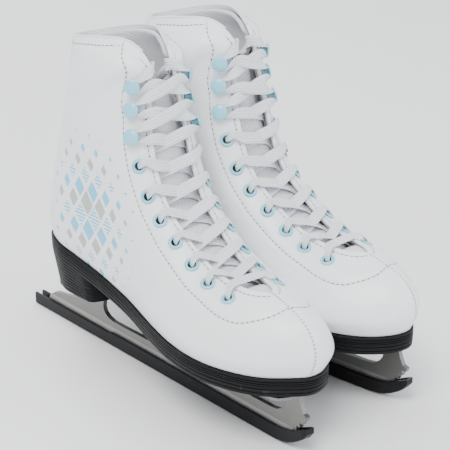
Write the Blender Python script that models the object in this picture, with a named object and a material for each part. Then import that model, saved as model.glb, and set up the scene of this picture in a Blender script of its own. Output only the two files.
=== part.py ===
"""A pair of lace-up figure skates standing in their blade guards.

Millimetres inside the helpers, metres on the objects. +Z up, toes toward -Y.
Each skate is laid out in its own frame (blade in the plane x = 0, outer side
at -x for the right skate) and then set down beside the other one.
"""
import bpy
import bmesh
import math
import numpy as np
from mathutils import Matrix

for _old in list(bpy.data.objects):
    bpy.data.objects.remove(_old, do_unlink=True)

# ---------------------------------------------------------------- dimensions
PAIR_SPACING = 73.0        # between the two blades, at the middle
PAIR_STAGGER = 4.0         # the left skate stands this much further back
SPLAY_DEG = 4.0            # toes turned out, each skate
CENTRE_SHIFT = (0.0, 4.3)  # puts the bounding box over the origin

UPPER_T = 2.2              # leather-look upper
STAY_GAP, STAY_T = 0.35, 0.9
LINING_GAP, LINING_T = 0.6, 1.9
LINING_COLLAR_T = 3.6
WELT_T, SOLE_T = 4.6, 11.8
SOLE_OUT = 1.5
HEEL_BOTTOM_Z = 37.6
BLADE_T = 3.2
GUARD_W, GUARD_WALL, GUARD_FLOOR = 7.6, 1.8, 2.6
PLATE_T = 2.0
EYELET_R, EYELET_BORE_R, EYELET_BARREL_R = 4.7, 2.6, 3.1
HOOK_CAP_R, HOOK_STEM_R, HOOK_BASE_R = 5.2, 1.7, 3.9
LACE_W, LACE_T = 7.0, 1.0
GAP = 0.3

# Rows of the boot's skin, from the edge above the sole up to the facing and
# rim. Each entry: outer x, y, inner x, y, z. Sixteen columns, toe to heel.
ROW_F = [(0.5, -148.5, 0.5, -148.5), (-12, -140, 13.5, -146), (-22.5, -128.5, 25.5, -135),
         (-30.5, -113.5, 34, -118.5), (-35.5, -95, 38, -99.5), (-36.8, -76, 37.5, -80),
         (-35, -57, 34.5, -60.5), (-31.5, -38, 30, -41), (-27.3, -19, 25.3, -21),
         (-24.2, 0, 22, -1), (-23, 20, 21.3, 20), (-23.3, 40, 22.5, 40),
         (-24.3, 60, 24, 60), (-24, 79, 24, 79), (-16.5, 97, 16.5, 97), (0, 105.5, 0, 105.5)]
ROW_A = [(0.5, -153.3, 0.5, -153.3, 63), (-14.5, -144, 16, -150, 61.5), (-26, -131, 29, -137.5, 60.5),
         (-34.3, -114.5, 37.7, -119.5, 60), (-39.3, -95, 41.3, -99.5, 60.5), (-40.3, -75, 40.8, -79, 61),
         (-38.3, -56, 37.8, -59.5, 62.5), (-34.8, -37, 33.5, -39.5, 64.5), (-30.7, -18, 28.8, -19.5, 68),
         (-27.8, 1, 25.8, 0.5, 72), (-26.8, 20.5, 25.5, 20.5, 76.5), (-27.3, 40, 26.8, 40, 81),
         (-28, 59.5, 27.8, 59.5, 85), (-26.8, 79.5, 26.8, 79.5, 87.5), (-18, 98.5, 18, 98.5, 88.5),
         (0, 108, 0, 108, 89)]
ROW_B = [(0.5, -151.3, 0.5, -151.3, 74.5), (-13, -143, 14.3, -148, 72.5), (-24.3, -129, 27, -134, 71),
         (-32.5, -112, 35.3, -116, 70.5), (-37, -92, 38.5, -95.5, 71), (-38, -72, 38.3, -75.5, 73),
         (-36.8, -53, 36, -55.5, 75.5), (-33.8, -34, 32.5, -36, 79), (-30.8, -14.5, 29, -16, 84.5),
         (-28.8, 4.5, 27.3, 4, 91), (-28.2, 23, 27.3, 23, 97), (-28.5, 41, 28, 41, 101.5),
         (-28.8, 58.5, 28.5, 58.5, 104.5), (-27, 77, 27, 77, 106.5), (-17.5, 94.5, 17.5, 94.5, 107.5),
         (0, 103.5, 0, 103.5, 108)]
ROW_C = [(0.5, -142.5, 0.5, -142.5, 84.5), (-11.5, -136, 12.5, -140, 82), (-22, -122.5, 24, -126, 79.5),
         (-29.5, -105.5, 31.5, -108.5, 79), (-33.5, -86, 34, -88.5, 80.5), (-35, -67, 34.7, -69.5, 83.5),
         (-34.5, -49, 34, -51, 88), (-32.8, -31, 32, -32.5, 94), (-31, -12.5, 30.3, -13.5, 103),
         (-29.8, 5, 29.3, 4.5, 115), (-29.2, 22, 28.8, 22, 125), (-29, 38, 29, 38, 130.5),
         (-28.6, 54, 28.6, 54, 133), (-26, 71.5, 26, 71.5, 134), (-16.5, 88.5, 16.5, 88.5, 134),
         (0, 95.5, 0, 95.5, 134)]
ROW_D = [(0.4, -129.5, 0.4, -129.5, 89.8), (-10, -126, 11, -128, 88.3), (-19.5, -115, 21, -117, 86.3),
         (-26, -100, 27.5, -102, 85.7), (-28.5, -81.5, 29, -83, 88.3), (-29.3, -64, 29.3, -65, 93.7),
         (-29.5, -47.3, 29.5, -47.8, 101.5), (-29.7, -31, 29.5, -31.3, 111), (-29.8, -14.5, 29.7, -14.7, 124.5),
         (-29.8, 0, 29.8, 0, 146), (-30, 12, 30, 12, 164), (-30.5, 24, 30.5, 24, 172),
         (-30.8, 37, 30.8, 37, 174), (-28.8, 54, 28.8, 54, 173), (-18.5, 74, 18.5, 74, 171), (0, 84, 0, 84, 169)]
ROW_E = [(0.3, -119.5, 0.3, -119.5, 92.6), (-8.5, -117.5, 8.8, -118, 91.8), (-15.5, -109.5, 15.8, -110, 90.5),
         (-19.5, -95.5, 19.5, -95.8, 89.3), (-20.3, -78.5, 20.3, -78.7, 93), (-20.8, -62.3, 20.8, -62.4, 101),
         (-21.7, -47.3, 21.7, -47.3, 111.3), (-22.5, -33, 22.5, -33, 121.7), (-23.2, -20.5, 23.2, -20.5, 136.5),
         (-22.9, -8.5, 22.9, -8.5, 165), (-19.2, -3.5, 19.2, -3.5, 190), (-20.2, -2.5, 20.2, -2.5, 207.5),
         (-29.0, 9, 29.0, 9, 209.5), (-30.8, 31, 30.8, 31, 207.5), (-22, 60, 22, 60, 203), (0, 77, 0, 77, 198)]
ROW_T = [(0.0, -113, 0.0, -113, 93.8), (-3.5, -110.5, 3.5, -110.5, 94), (-7.5, -104, 7.5, -104, 94.3),
         (-10, -91, 10, -91, 95.3), (-11, -75, 11, -75, 98.3), (-11.8, -59.5, 11.8, -59.5, 105.5),
         (-12.7, -45, 12.7, -45, 115.5), (-13.3, -31.5, 13.3, -31.5, 127), (-13.8, -22.5, 13.8, -22.5, 143),
         (-13.6, -15, 13.6, -15, 167), (-11.2, -10.5, 11.2, -10.5, 192), (-8.6, -7, 8.6, -7, 213.2),
         (-13.5, 8.5, 13.5, 8.5, 225.3), (-22.5, 30, 22.5, 30, 225), (-21, 57, 21, 57, 219.5), (0, 74.5, 0, 74.5, 215.5)]
SOLE_Z = [(-160, 51.2), (-150, 51.0), (-130, 50.0), (-90, 50.0), (-50, 51.0), (-20, 53.5), (0, 57.0),
          (20, 61.0), (40, 65.5), (60, 69.5), (80, 72.5), (105, 74.5), (120, 75.0)]
# Every layer of the boot is sampled on these same columns and rows, so the layers stay apart.
US = [0.0, 0.7, 1.5, 2.3, 2.95, 4.05, 4.98, 5.98, 6.98, 7.88, 8.55, 9.15, 9.8, 10.55, 10.9, 11.2, 11.6, 12.2, 12.9, 13.6,
      14.2, 15.0]
VS = [0.0, 0.4, 1.0, 1.8, 2.8, 3.6, 4.1, 4.5, 5.0, 5.5, 6.0]


def sole_z(y):
    return float(np.interp(y, [p[0] for p in SOLE_Z], [p[1] for p in SOLE_Z]))


def ring(row, is_feather=False):
    """The row as a closed ring of columns: outer toe to heel, then inner heel to toe."""
    outer = [(r[0], r[1], sole_z(r[1]) + 0.4 if is_feather else r[4]) for r in row]
    inner = [(r[2], r[3], sole_z(r[3]) + 0.4 if is_feather else r[4]) for r in row]
    return np.array(outer + inner[-2:0:-1], float)


NET = np.array([ring(ROW_F, True), ring(ROW_A), ring(ROW_B), ring(ROW_C), ring(ROW_D), ring(ROW_E), ring(ROW_T)])


def catmull(p0, p1, p2, p3, t):
    return 0.5 * ((2 * p1) + (p2 - p0) * t + (2 * p0 - 5 * p1 + 4 * p2 - p3) * t * t
                  + (3 * p1 - p0 - 3 * p2 + p3) * t ** 3)


def skin(side, u, v):
    """A point of the boot's outer skin. side -1 outer, +1 inner; u 0 toe to 15 heel; v 0 sole to 6 top."""
    n = NET.shape[1]
    pos = u if side < 0 else n - u
    i = int(math.floor(pos))
    t = pos - i
    cols = catmull(NET[:, (i - 1) % n], NET[:, i % n], NET[:, (i + 1) % n], NET[:, (i + 2) % n], t)
    v = min(max(v, 0.0), 6.0)
    j = min(int(v), 5)
    s = v - j
    p1, p2 = cols[j], cols[j + 1]
    p0 = cols[j - 1] if j > 0 else 2 * p1 - p2
    p3 = cols[j + 2] if j < 5 else 2 * p2 - p1
    return catmull(p0, p1, p2, p3, s)


def skin_normal(side, u, v):
    du, dv = 0.04, 0.04
    a = skin(side, u + du, v) - skin(side, u - du, v)
    b = skin(side, u, min(v + dv, 6.0)) - skin(side, u, max(v - dv, 0.0))
    n = np.cross(a, b) * (1 if side < 0 else -1)
    n /= np.linalg.norm(n) + 1e-12
    p = skin(side, u, v)
    ref = p - np.array([0.0, min(max(p[1], -120.0), 55.0), 70.0 if p[1] < -20 else p[2]])
    return n if np.dot(n, ref) > 0 else -n


def skin_off(side, u, v, d):
    """The skin moved inward by d."""
    return skin(side, u, v) - skin_normal(side, u, v) * d


# ---------------------------------------------------------------- helpers
MATS = {}


def material(slot, color, rough, metal=0.0):
    if slot not in MATS:
        m = bpy.data.materials.new(slot)
        m.use_nodes = True
        b = m.node_tree.nodes["Principled BSDF"]
        b.inputs["Base Color"].default_value = (*color, 1)
        b.inputs["Roughness"].default_value = rough
        b.inputs["Metallic"].default_value = metal
        m.diffuse_color = (*color, 1)
        MATS[slot] = m
    return MATS[slot]


COLORS = {
    "upper_white": ((0.84, 0.85, 0.87), 0.42, 0.0),
    "upper_print": ((0.83, 0.86, 0.88), 0.42, 0.0),
    "lining_grey": ((0.74, 0.75, 0.77), 0.9, 0.0),
    "tongue_white": ((0.80, 0.81, 0.83), 0.7, 0.0),
    "footbed_grey": ((0.55, 0.56, 0.58), 0.9, 0.0),
    "board_tan": ((0.52, 0.42, 0.30), 0.85, 0.0),
    "sole_black": ((0.022, 0.022, 0.024), 0.5, 0.0),
    "steel_blade": ((0.52, 0.52, 0.50), 0.33, 1.0),
    "steel_plate": ((0.40, 0.40, 0.40), 0.4, 1.0),
    "screw_steel": ((0.6, 0.6, 0.6), 0.3, 1.0),
    "hardware_blue": ((0.38, 0.66, 0.78), 0.35, 0.0),
    "guard_black": ((0.02, 0.02, 0.022), 0.45, 0.0),
    "lace_white": ((0.86, 0.87, 0.90), 0.8, 0.0),
}


def place(points, side_skate):
    """Skate frame in mm to world in m. side_skate -1 right skate (at -x), +1 left skate, mirrored."""
    p = np.array(points, float).reshape(-1, 3).copy()
    if side_skate > 0:
        p[:, 0] *= -1
    a = math.radians(SPLAY_DEG) * side_skate
    c, s = math.cos(a), math.sin(a)
    x = p[:, 0] * c - p[:, 1] * s + side_skate * PAIR_SPACING / 2 + CENTRE_SHIFT[0]
    y = p[:, 0] * s + p[:, 1] * c + side_skate * PAIR_STAGGER / 2 + CENTRE_SHIFT[1]
    return np.stack([x, y, p[:, 2]], 1) * 0.001


def build(name, points, faces, slot, skate, smooth=True, hidden=False, origin=None, triangles=True):
    pts = place(points, skate)
    org = place([origin], skate)[0] if origin is not None else np.zeros(3)
    faces = [tuple(f) for f in faces]
    if skate > 0:
        faces = [f[::-1] for f in faces]
    mesh = bpy.data.meshes.new(name)
    mesh.from_pydata([tuple(p - org) for p in pts], [], faces)
    mesh.validate()
    bm = bmesh.new()
    bm.from_mesh(mesh)
    bmesh.ops.remove_doubles(bm, verts=bm.verts, dist=1e-6)
    bmesh.ops.recalc_face_normals(bm, faces=bm.faces)
    if bm.calc_volume(signed=True) < 0:
        bmesh.ops.reverse_faces(bm, faces=bm.faces)
    bm.to_mesh(mesh)
    bm.free()
    if triangles:
        bm = bmesh.new()
        bm.from_mesh(mesh)
        bmesh.ops.triangulate(bm, faces=bm.faces)
        bm.to_mesh(mesh)
        bm.free()
    if smooth:
        mesh.polygons.foreach_set("use_smooth", [True] * len(mesh.polygons))
    obj = bpy.data.objects.new(name, mesh)
    obj.location = org
    color, rough, metal = COLORS[slot]
    mesh.materials.append(material(slot, color, rough, metal))
    bpy.context.scene.collection.objects.link(obj)
    if hidden:
        obj.hide_render = True
        obj.display_type = "WIRE"
    return obj


def apply_booleans(obj, steps):
    """Runs exact Booleans, at a thousand times the size so no small edge is lost, and keeps the result as the mesh."""
    for o in [obj] + [step[1] for step in steps]:
        o.data.transform(Matrix.Scale(1000.0, 4))
    for operation, other in steps:
        m = obj.modifiers.new("bool", "BOOLEAN")
        m.operation = operation
        m.solver = "EXACT"
        m.object = other
        bpy.context.view_layer.update()
        graph = bpy.context.evaluated_depsgraph_get()
        mesh = bpy.data.meshes.new_from_object(obj.evaluated_get(graph))
        obj.modifiers.clear()
        old = obj.data
        obj.data = mesh
        bpy.data.meshes.remove(old)
    for _, other in steps:
        if other.name in bpy.data.objects:
            bpy.data.objects.remove(other, do_unlink=True)
    obj.data.transform(Matrix.Scale(0.001, 4))
    for p in obj.data.polygons:
        p.use_smooth = True


def shell_faces(nu, nv):
    """Faces of a slab given as grid A (outer) then grid B (inner), each nu x nv, point index i*nv+j."""
    off = nu * nv
    f = []
    for i in range(nu - 1):
        k = i + 1
        for j in range(nv - 1):
            a, b, c, d = i * nv + j, k * nv + j, k * nv + j + 1, i * nv + j + 1
            f.append((a, b, c, d))
            f.append((off + a, off + d, off + c, off + b))
        for j in (0, nv - 1):
            a, b = i * nv + j, k * nv + j
            f.append((a, off + a, off + b, b) if j == 0 else (a, b, off + b, off + a))
    for i in (0, nu - 1):
        for j in range(nv - 1):
            a, b = i * nv + j, i * nv + j + 1
            f.append((a, b, off + b, off + a) if i == 0 else (a, off + a, off + b, b))
    return f


def lathe(profile, centre, axis, steps=12):
    """A solid of revolution: profile (radius, height) from the axis out and back to it."""
    axis = np.array(axis, float)
    axis /= np.linalg.norm(axis)
    ref = np.array([0, 0, 1.0]) if abs(axis[2]) < 0.8 else np.array([0, 1.0, 0])
    e1 = np.cross(axis, ref)
    e1 /= np.linalg.norm(e1)
    e2 = np.cross(axis, e1)
    pts, rings, faces = [], [], []
    for r, h in profile:
        if r < 1e-6:
            rings.append([len(pts)])
            pts.append(centre + axis * h)
        else:
            rings.append(list(range(len(pts), len(pts) + steps)))
            for k in range(steps):
                a = 2 * math.pi * (k + 0.37) / steps
                pts.append(centre + axis * h + (e1 * math.cos(a) + e2 * math.sin(a)) * r)
    for a, b in zip(rings[:-1], rings[1:]):
        for k in range(steps):
            k2 = (k + 1) % steps
            if len(a) == 1 and len(b) > 1:
                faces.append((a[0], b[k], b[k2]))
            elif len(b) == 1 and len(a) > 1:
                faces.append((a[k], b[0], a[k2]))
            elif len(a) > 1:
                faces.append((a[k], b[k], b[k2], a[k2]))
    return pts, faces


def joined(solids):
    """Several (points, faces) as one."""
    pts, faces = [], []
    for p, f in solids:
        faces += [tuple(i + len(pts) for i in face) for face in f]
        pts += list(p)
    return pts, faces


def extrude_x(profile, x0, x1):
    """A flat plate: profile of (y, z) points pushed from x0 to x1."""
    n = len(profile)
    pts = [(x0, y, z) for y, z in profile] + [(x1, y, z) for y, z in profile]
    faces = [tuple(range(n)), tuple(range(2 * n - 1, n - 1, -1))]
    faces += [(i, n + i, n + (i + 1) % n, (i + 1) % n) for i in range(n)]
    return pts, faces


# ---------------------------------------------------------------- fastener places
# Columns (u) and rows (v) of the lacing fasteners: seven eyelets from the toe up, then three hooks.
EYELET_UV = [(2.95, 5.0), (4.05, 5.0), (4.98, 5.0), (5.98, 5.0), (6.98, 5.0), (7.88, 5.0), (8.55, 5.0)]
HOOK_UV = [(9.15, 5.0), (9.8, 5.0), (10.55, 5.0)]
FASTENERS = EYELET_UV + HOOK_UV


def upper_half(skate, side, name, slot):
    us, vs = US, VS
    outer, inner = [], []
    for u in us:
        f = skin(side, u, 0)
        n0 = skin_normal(side, u, 0.3)
        flat = np.array([n0[0], n0[1], 0.0])
        flat /= np.linalg.norm(flat) + 1e-9
        m = f - flat * 8.0
        m[2] = sole_z(m[1]) + 0.4
        col_o = [m] + [skin(side, u, v) for v in vs]
        col_i = [m + np.array([0, 0, UPPER_T])]
        for v in vs:
            p = skin_off(side, u, v, UPPER_T)
            if v == 0:
                p = f - flat * UPPER_T * 0.95 + np.array([0, 0, UPPER_T])
            col_i.append(p)
        for col in (col_o, col_i):
            for p in col:
                seam = 0.45 if u < 3 else 0.0
                if side < 0:
                    p[0] = min(p[0], seam - 0.16)
                else:
                    p[0] = max(p[0], seam + 0.16)
        outer += col_o
        inner += col_i
    nu, nv = len(us), len(vs) + 1
    obj = build(name, outer + inner, shell_faces(nu, nv), slot, skate)
    holes = []
    for k, (u, v) in enumerate(FASTENERS):
        c, n = skin(side, u, v), skin_normal(side, u, v)
        r = EYELET_BARREL_R + 0.4 if k < 7 else HOOK_STEM_R + 0.45
        holes.append(lathe([(0, -6), (r, -6), (r, 4), (0, 4)], c, n, 8))
    pts, faces = joined(holes)
    apply_booleans(obj, [("DIFFERENCE", build("holes", pts, faces, slot, skate, hidden=True))])
    return obj


def stay(skate, side, name):
    """The reinforcement strip behind the facing, with the row of seven eyelets set through it."""
    d0 = UPPER_T + STAY_GAP
    us = [2.62] + [u for u in US if 2.9 < u < 11.0]
    vs = [4.5, 5.0, 5.5, 5.86]
    deep = [d0 + (0.5 if u < 3.5 else 0.3 if u < 4.5 else 0.0) for u in us]
    outer = [skin_off(side, u, v, d) for u, d in zip(us, deep) for v in vs]
    inner = [skin_off(side, u, v, d + STAY_T) for u, d in zip(us, deep) for v in vs]
    obj = build(name, outer + inner, shell_faces(len(us), len(vs)), "hardware_blue", skate)
    rings, bores = [], []
    for k, (u, v) in enumerate(FASTENERS):
        c, n = skin(side, u, v), skin_normal(side, u, v)
        if k < 7:
            end = -deep[us.index(u)] - 0.45
            low = 1.1 if k == 0 else 0.8
            rings.append(lathe([(0, low + 0.8), (EYELET_R - 0.4, low + 0.7), (EYELET_R, low), (EYELET_BARREL_R, low),
                                (EYELET_BARREL_R, end), (0, end)], c, n, 8))
        r = EYELET_BORE_R if k < 7 else HOOK_STEM_R + 0.45
        bores.append(lathe([(0, -8), (r, -8), (r, 4), (0, 4)], c, n, 8))
    pts, faces = joined(rings)
    cut_pts, cut_faces = joined(bores)
    apply_booleans(obj, [("UNION", build("rings", pts, faces, "hardware_blue", skate, hidden=True)),
                         ("DIFFERENCE", build("bores", cut_pts, cut_faces, "hardware_blue", skate, hidden=True))])
    return obj


def hook(skate, side, k, name):
    u, v = HOOK_UV[k]
    c, n = skin(side, u, v), skin_normal(side, u, v)
    inside = -(UPPER_T + STAY_GAP + STAY_T)
    prof = [(0, 6.5), (HOOK_CAP_R, 5.3), (HOOK_CAP_R - 0.4, 4.7),
            (HOOK_STEM_R, 4.6), (HOOK_STEM_R, 1.2), (HOOK_BASE_R, 0.9), (HOOK_STEM_R, 0.6),
            (HOOK_STEM_R, inside - 0.6), (2.7, inside - 0.6), (2.7, inside - 1.2), (0, inside - 1.2)]
    pts, faces = lathe(prof, c, n, 8)
    return build(name, pts, faces, "hardware_blue", skate)


def lining(skate):
    """Textile lining of the quarters, round the heel from one side to the other."""
    us = [u for u in US if u > 4.2]
    path = [(-1, u) for u in us] + [(1, u) for u in us[-2::-1]]
    d0 = UPPER_T + LINING_GAP
    outer, inner = [], []
    for side, u in path:
        if u < 11.0:
            row = [0.66, 1.0, 1.8, 2.8, 3.6, 4.1, 4.25, 4.4]
        else:
            row = [0.66, 1.0, 1.8, 2.8, 3.6, 4.1, 5.0, 5.97]
        for v in row:
            thick = LINING_T + (LINING_COLLAR_T - LINING_T) * max(0.0, min(1.0, (v - 4.1) / 1.2))
            extra = 0.9 if 10.7 < u < 11.5 and v > 3.7 else 0.4 if v > 4.0 and u > 11.0 else 0.0
            outer.append(skin_off(side, u, v, d0 + extra))
            inner.append(skin_off(side, u, v, d0 + extra + thick))
    return build("lining_" + NAMES[skate], outer + inner, shell_faces(len(path), 8), "lining_grey", skate)


def outline_closed(grow, count=52):
    """The sole outline: the feather edge pushed outward by grow, as (x, y) points."""
    ringpts = NET[0][:, :2]
    n = len(ringpts)
    dense = []
    for k in range(n * 6):
        pos = k / 6.0
        i = int(pos)
        dense.append(catmull(ringpts[(i - 1) % n], ringpts[i % n], ringpts[(i + 1) % n], ringpts[(i + 2) % n], pos - i))
    dense = np.array(dense)
    nxt, prv = np.roll(dense, -1, 0), np.roll(dense, 1, 0)
    t = nxt - prv
    t /= np.linalg.norm(t, axis=1)[:, None]
    nrm = np.stack([t[:, 1], -t[:, 0]], 1)
    c = dense.mean(0)
    if np.sum((dense - c) * nrm) < 0:
        nrm = -nrm
    out = dense + nrm * grow
    seg = np.linalg.norm(np.roll(out, -1, 0) - out, axis=1)
    total = np.concatenate([[0], np.cumsum(seg)])
    closed = np.vstack([out, out[:1]])
    want = np.linspace(0, total[-1], count, endpoint=False)
    return np.stack([np.interp(want, total, closed[:, 0]), np.interp(want, total, closed[:, 1])], 1)


def slab(name, skate, levels, slot, count=52):
    """A stack of outlines. levels: (grow, function giving z from y)."""
    rings = []
    for grow, zf in levels:
        o = outline_closed(grow, count)
        rings.append([(x, y, zf(y)) for x, y in o])
    pts = [p for r in rings for p in r]
    faces = []
    for k in range(len(rings) - 1):
        for i in range(count):
            j = (i + 1) % count
            faces.append((k * count + i, k * count + j, (k + 1) * count + j, (k + 1) * count + i))
    # The flat faces are ribbons between the two sides of the outline, so a bent sole stays smooth.
    for base in (0, (len(rings) - 1) * count):
        half = count // 2
        for i in range(half):
            a, b = base + i, base + i + 1
            c, d = base + (count - i - 1) % count, base + (count - i) % count
            quad = [a, b, c, d]
            uniq = []
            for q in quad:
                if q not in uniq:
                    uniq.append(q)
            if len(uniq) >= 3:
                faces.append(tuple(uniq))
    return build(name, pts, faces, slot, skate)


NAMES = {-1: "right", 1: "left"}


def make_skate(skate):
    tag = NAMES[skate]
    outer_slot = "upper_print"
    upper_half(skate, -1, f"upper_outer_{tag}", outer_slot)
    upper_half(skate, 1, f"upper_inner_{tag}", "upper_white")
    stay(skate, -1, f"eyelet_row_outer_{tag}")
    stay(skate, 1, f"eyelet_row_inner_{tag}")
    for k in range(3):
        hook(skate, -1, k, f"hook_outer_{k + 1}_{tag}")
        hook(skate, 1, k, f"hook_inner_{k + 1}_{tag}")
    lining(skate)

    # backstay: a strip down the back seam, with a small pull bump at its top
    us = [14.2, 14.6, 15.0]
    path = [(-1, u) for u in us] + [(1, u) for u in us[-2::-1]]
    vs = VS[1:-1] + [5.8, 5.97]
    outer, inner = [], []
    for side, u in path:
        edge = 0.6 if u < 14.3 else 1.0
        for v in vs:
            bump = 1.2 * math.exp(-((v - 5.75) / 0.16) ** 2) * (1 if u > 14.3 else 0.4)
            n = skin_normal(side, u, v)
            outer.append(skin(side, u, v) + n * (GAP + 0.05 + edge * 1.0 + bump))
            inner.append(skin(side, u, v) + n * (GAP + 0.05))
    build(f"backstay_{tag}", outer + inner, shell_faces(len(path), len(vs)), "upper_white", skate)

    # soles
    slab(f"midsole_{tag}", skate, [
        (SOLE_OUT - 0.5, lambda y: sole_z(y) - 0.0), (SOLE_OUT, lambda y: sole_z(y) - 0.6),
        (SOLE_OUT, lambda y: sole_z(y) - 2.0), (SOLE_OUT - 0.6, lambda y: sole_z(y) - 2.35),
        (SOLE_OUT, lambda y: sole_z(y) - 2.7), (SOLE_OUT, lambda y: sole_z(y) - WELT_T)], "sole_black", 38)
    slab(f"outsole_{tag}", skate, [
        (SOLE_OUT - 0.7, lambda y: sole_z(y) - WELT_T - GAP), (SOLE_OUT, lambda y: sole_z(y) - WELT_T - GAP - 0.5),
        (SOLE_OUT - 0.1, lambda y: sole_z(y) - 7.6), (SOLE_OUT - 0.7, lambda y: sole_z(y) - 7.95),
        (SOLE_OUT - 0.2, lambda y: sole_z(y) - 8.3), (SOLE_OUT - 0.5, lambda y: sole_z(y) - SOLE_T + 0.6),
        (SOLE_OUT - 1.2, lambda y: sole_z(y) - SOLE_T)], "sole_black", 38)
    slab(f"insole_board_{tag}", skate, [
        (-4.2, lambda y: sole_z(y) + 0.4 + UPPER_T + GAP), (-4.2, lambda y: sole_z(y) + 0.4 + UPPER_T + GAP + 1.6)],
        "board_tan", 30)
    fb = lambda y: sole_z(y) + 0.4 + UPPER_T + GAP + 1.6 + GAP
    slab(f"footbed_{tag}", skate, [
        (-5.6, lambda y: fb(y)), (-5.2, lambda y: fb(y) + 1.6), (-6.2, lambda y: fb(y) + 3.0)],
        "footbed_grey", 30)
    heel_block(skate, tag)
    blade(skate, tag)
    tongue(skate, tag)
    lace(skate, tag)


def heel_block(skate, tag):
    """The stacked heel under the seat of the sole, with grooves between its lifts and a round breast."""
    rows = []
    lifts = 5
    z_top = lambda y: sole_z(y) - SOLE_T - GAP
    frac = [0.0]
    for k in range(lifts):
        a, b = k / lifts, (k + 1) / lifts
        frac += [b - 0.16 / lifts, b] if k < lifts - 1 else [b]

    def section(grow, back_shift):
        o = outline_closed(grow, 400)
        keep = o[o[:, 1] > 50.0]
        ang = np.arctan2(keep[:, 0], keep[:, 1] - 50.0)
        order = np.argsort(ang)
        keep = keep[order]
        idx = np.linspace(0, len(keep) - 1, 15).round().astype(int)
        arcpts = keep[idx].copy()
        arcpts[:, 1] = 50.0 + (arcpts[:, 1] - 50.0) * (1 - back_shift)
        w = arcpts[0, 0], arcpts[-1, 0]
        breast = []
        for t in np.linspace(1, 0, 7)[1:-1]:
            x = w[0] + (w[1] - w[0]) * t
            breast.append((x, 49.0 - 5.0 * math.sin(math.pi * t) ** 0.6))
        return [tuple(p) for p in arcpts] + breast
    for i, f in enumerate(frac):
        groove = -0.5 if (i % 2 == 0 and 0 < i < len(frac) - 1) else 0.0
        sec = section(SOLE_OUT - 0.6 - 3.2 * f + groove, 0.055 * f)
        n = len(sec)
        row = []
        for x, y in sec:
            zt = z_top(y)
            row.append((x, y, zt + (HEEL_BOTTOM_Z - zt) * f))
        rows.append(row)
    pts = [p for r in rows for p in r]
    faces = []
    for k in range(len(rows) - 1):
        for i in range(n):
            j = (i + 1) % n
            faces.append((k * n + i, k * n + j, (k + 1) * n + j, (k + 1) * n + i))
    # seat and bottom, as fans from a middle point
    for base_i, row in ((0, rows[0]), ((len(rows) - 1) * n, rows[-1])):
        cx, cy = 0.0, 70.0
        zt = z_top(cy) if base_i == 0 else HEEL_BOTTOM_Z
        pts.append((cx, cy, zt))
        m = len(pts) - 1
        for i in range(n):
            faces.append((base_i + i, base_i + (i + 1) % n, m))
    build(f"heel_stack_{tag}", pts, faces, "sole_black", skate)


BLADE_BOTTOM_Z = GUARD_FLOOR + GAP


def blade_profile():
    b = BLADE_BOTTOM_Z
    front_top, rear_top = 35.3, 34.9
    prof = [(128.0, b + 1.2), (130.3, b + 3.0), (130.2, 8.0), (127.5, 12.0), (121.0, 15.8), (108.0, 18.0), (97.0, 19.8)]
    prof += [(94.0, 21.5), (93.2, 24.5), (94.5, 28.5), (98.0, 32.0), (99.0, rear_top)]
    prof += [(54.0, rear_top), (58.5, 32.2), (61.5, 28.5), (62.0, 24.5), (60.5, 21.0), (56.5, 18.6), (51.0, 17.4), (40.0, 17.3)]
    prof += [(-2.0, 18.0), (-12.0, 19.2), (-19.5, 22.5), (-25.5, 28.0), (-31.5, 32.6), (-38.0, front_top)]
    prof += [(-72.0, front_top), (-76.5, 31.5), (-79.5, 26.0), (-84.0, 20.8), (-90.0, 18.8)]
    prof += [(-116.0, 19.2), (-121.5, 19.9), (-126.0, 22.5), (-128.8, 26.5), (-129.8, 31.0), (-129.0, front_top)]
    prof += [(-141.5, front_top), (-142.6, 31.0), (-145.2, 25.5), (-148.4, 24.2)]
    prof += [(-147.4, 21.5), (-144.6, 21.9), (-145.0, 18.5), (-142.0, 18.8), (-142.2, 15.4), (-139.2, 15.6),
             (-139.2, 12.2), (-136.2, 12.5), (-135.4, 9.2), (-132.0, 7.2), (-126.0, b + 2.2), (-112.0, b + 0.8), (-90.0, b + 0.1)]
    prof += [(-60.0, b), (0.0, b), (70.0, b), (110.0, b + 0.3)]
    return prof


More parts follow.
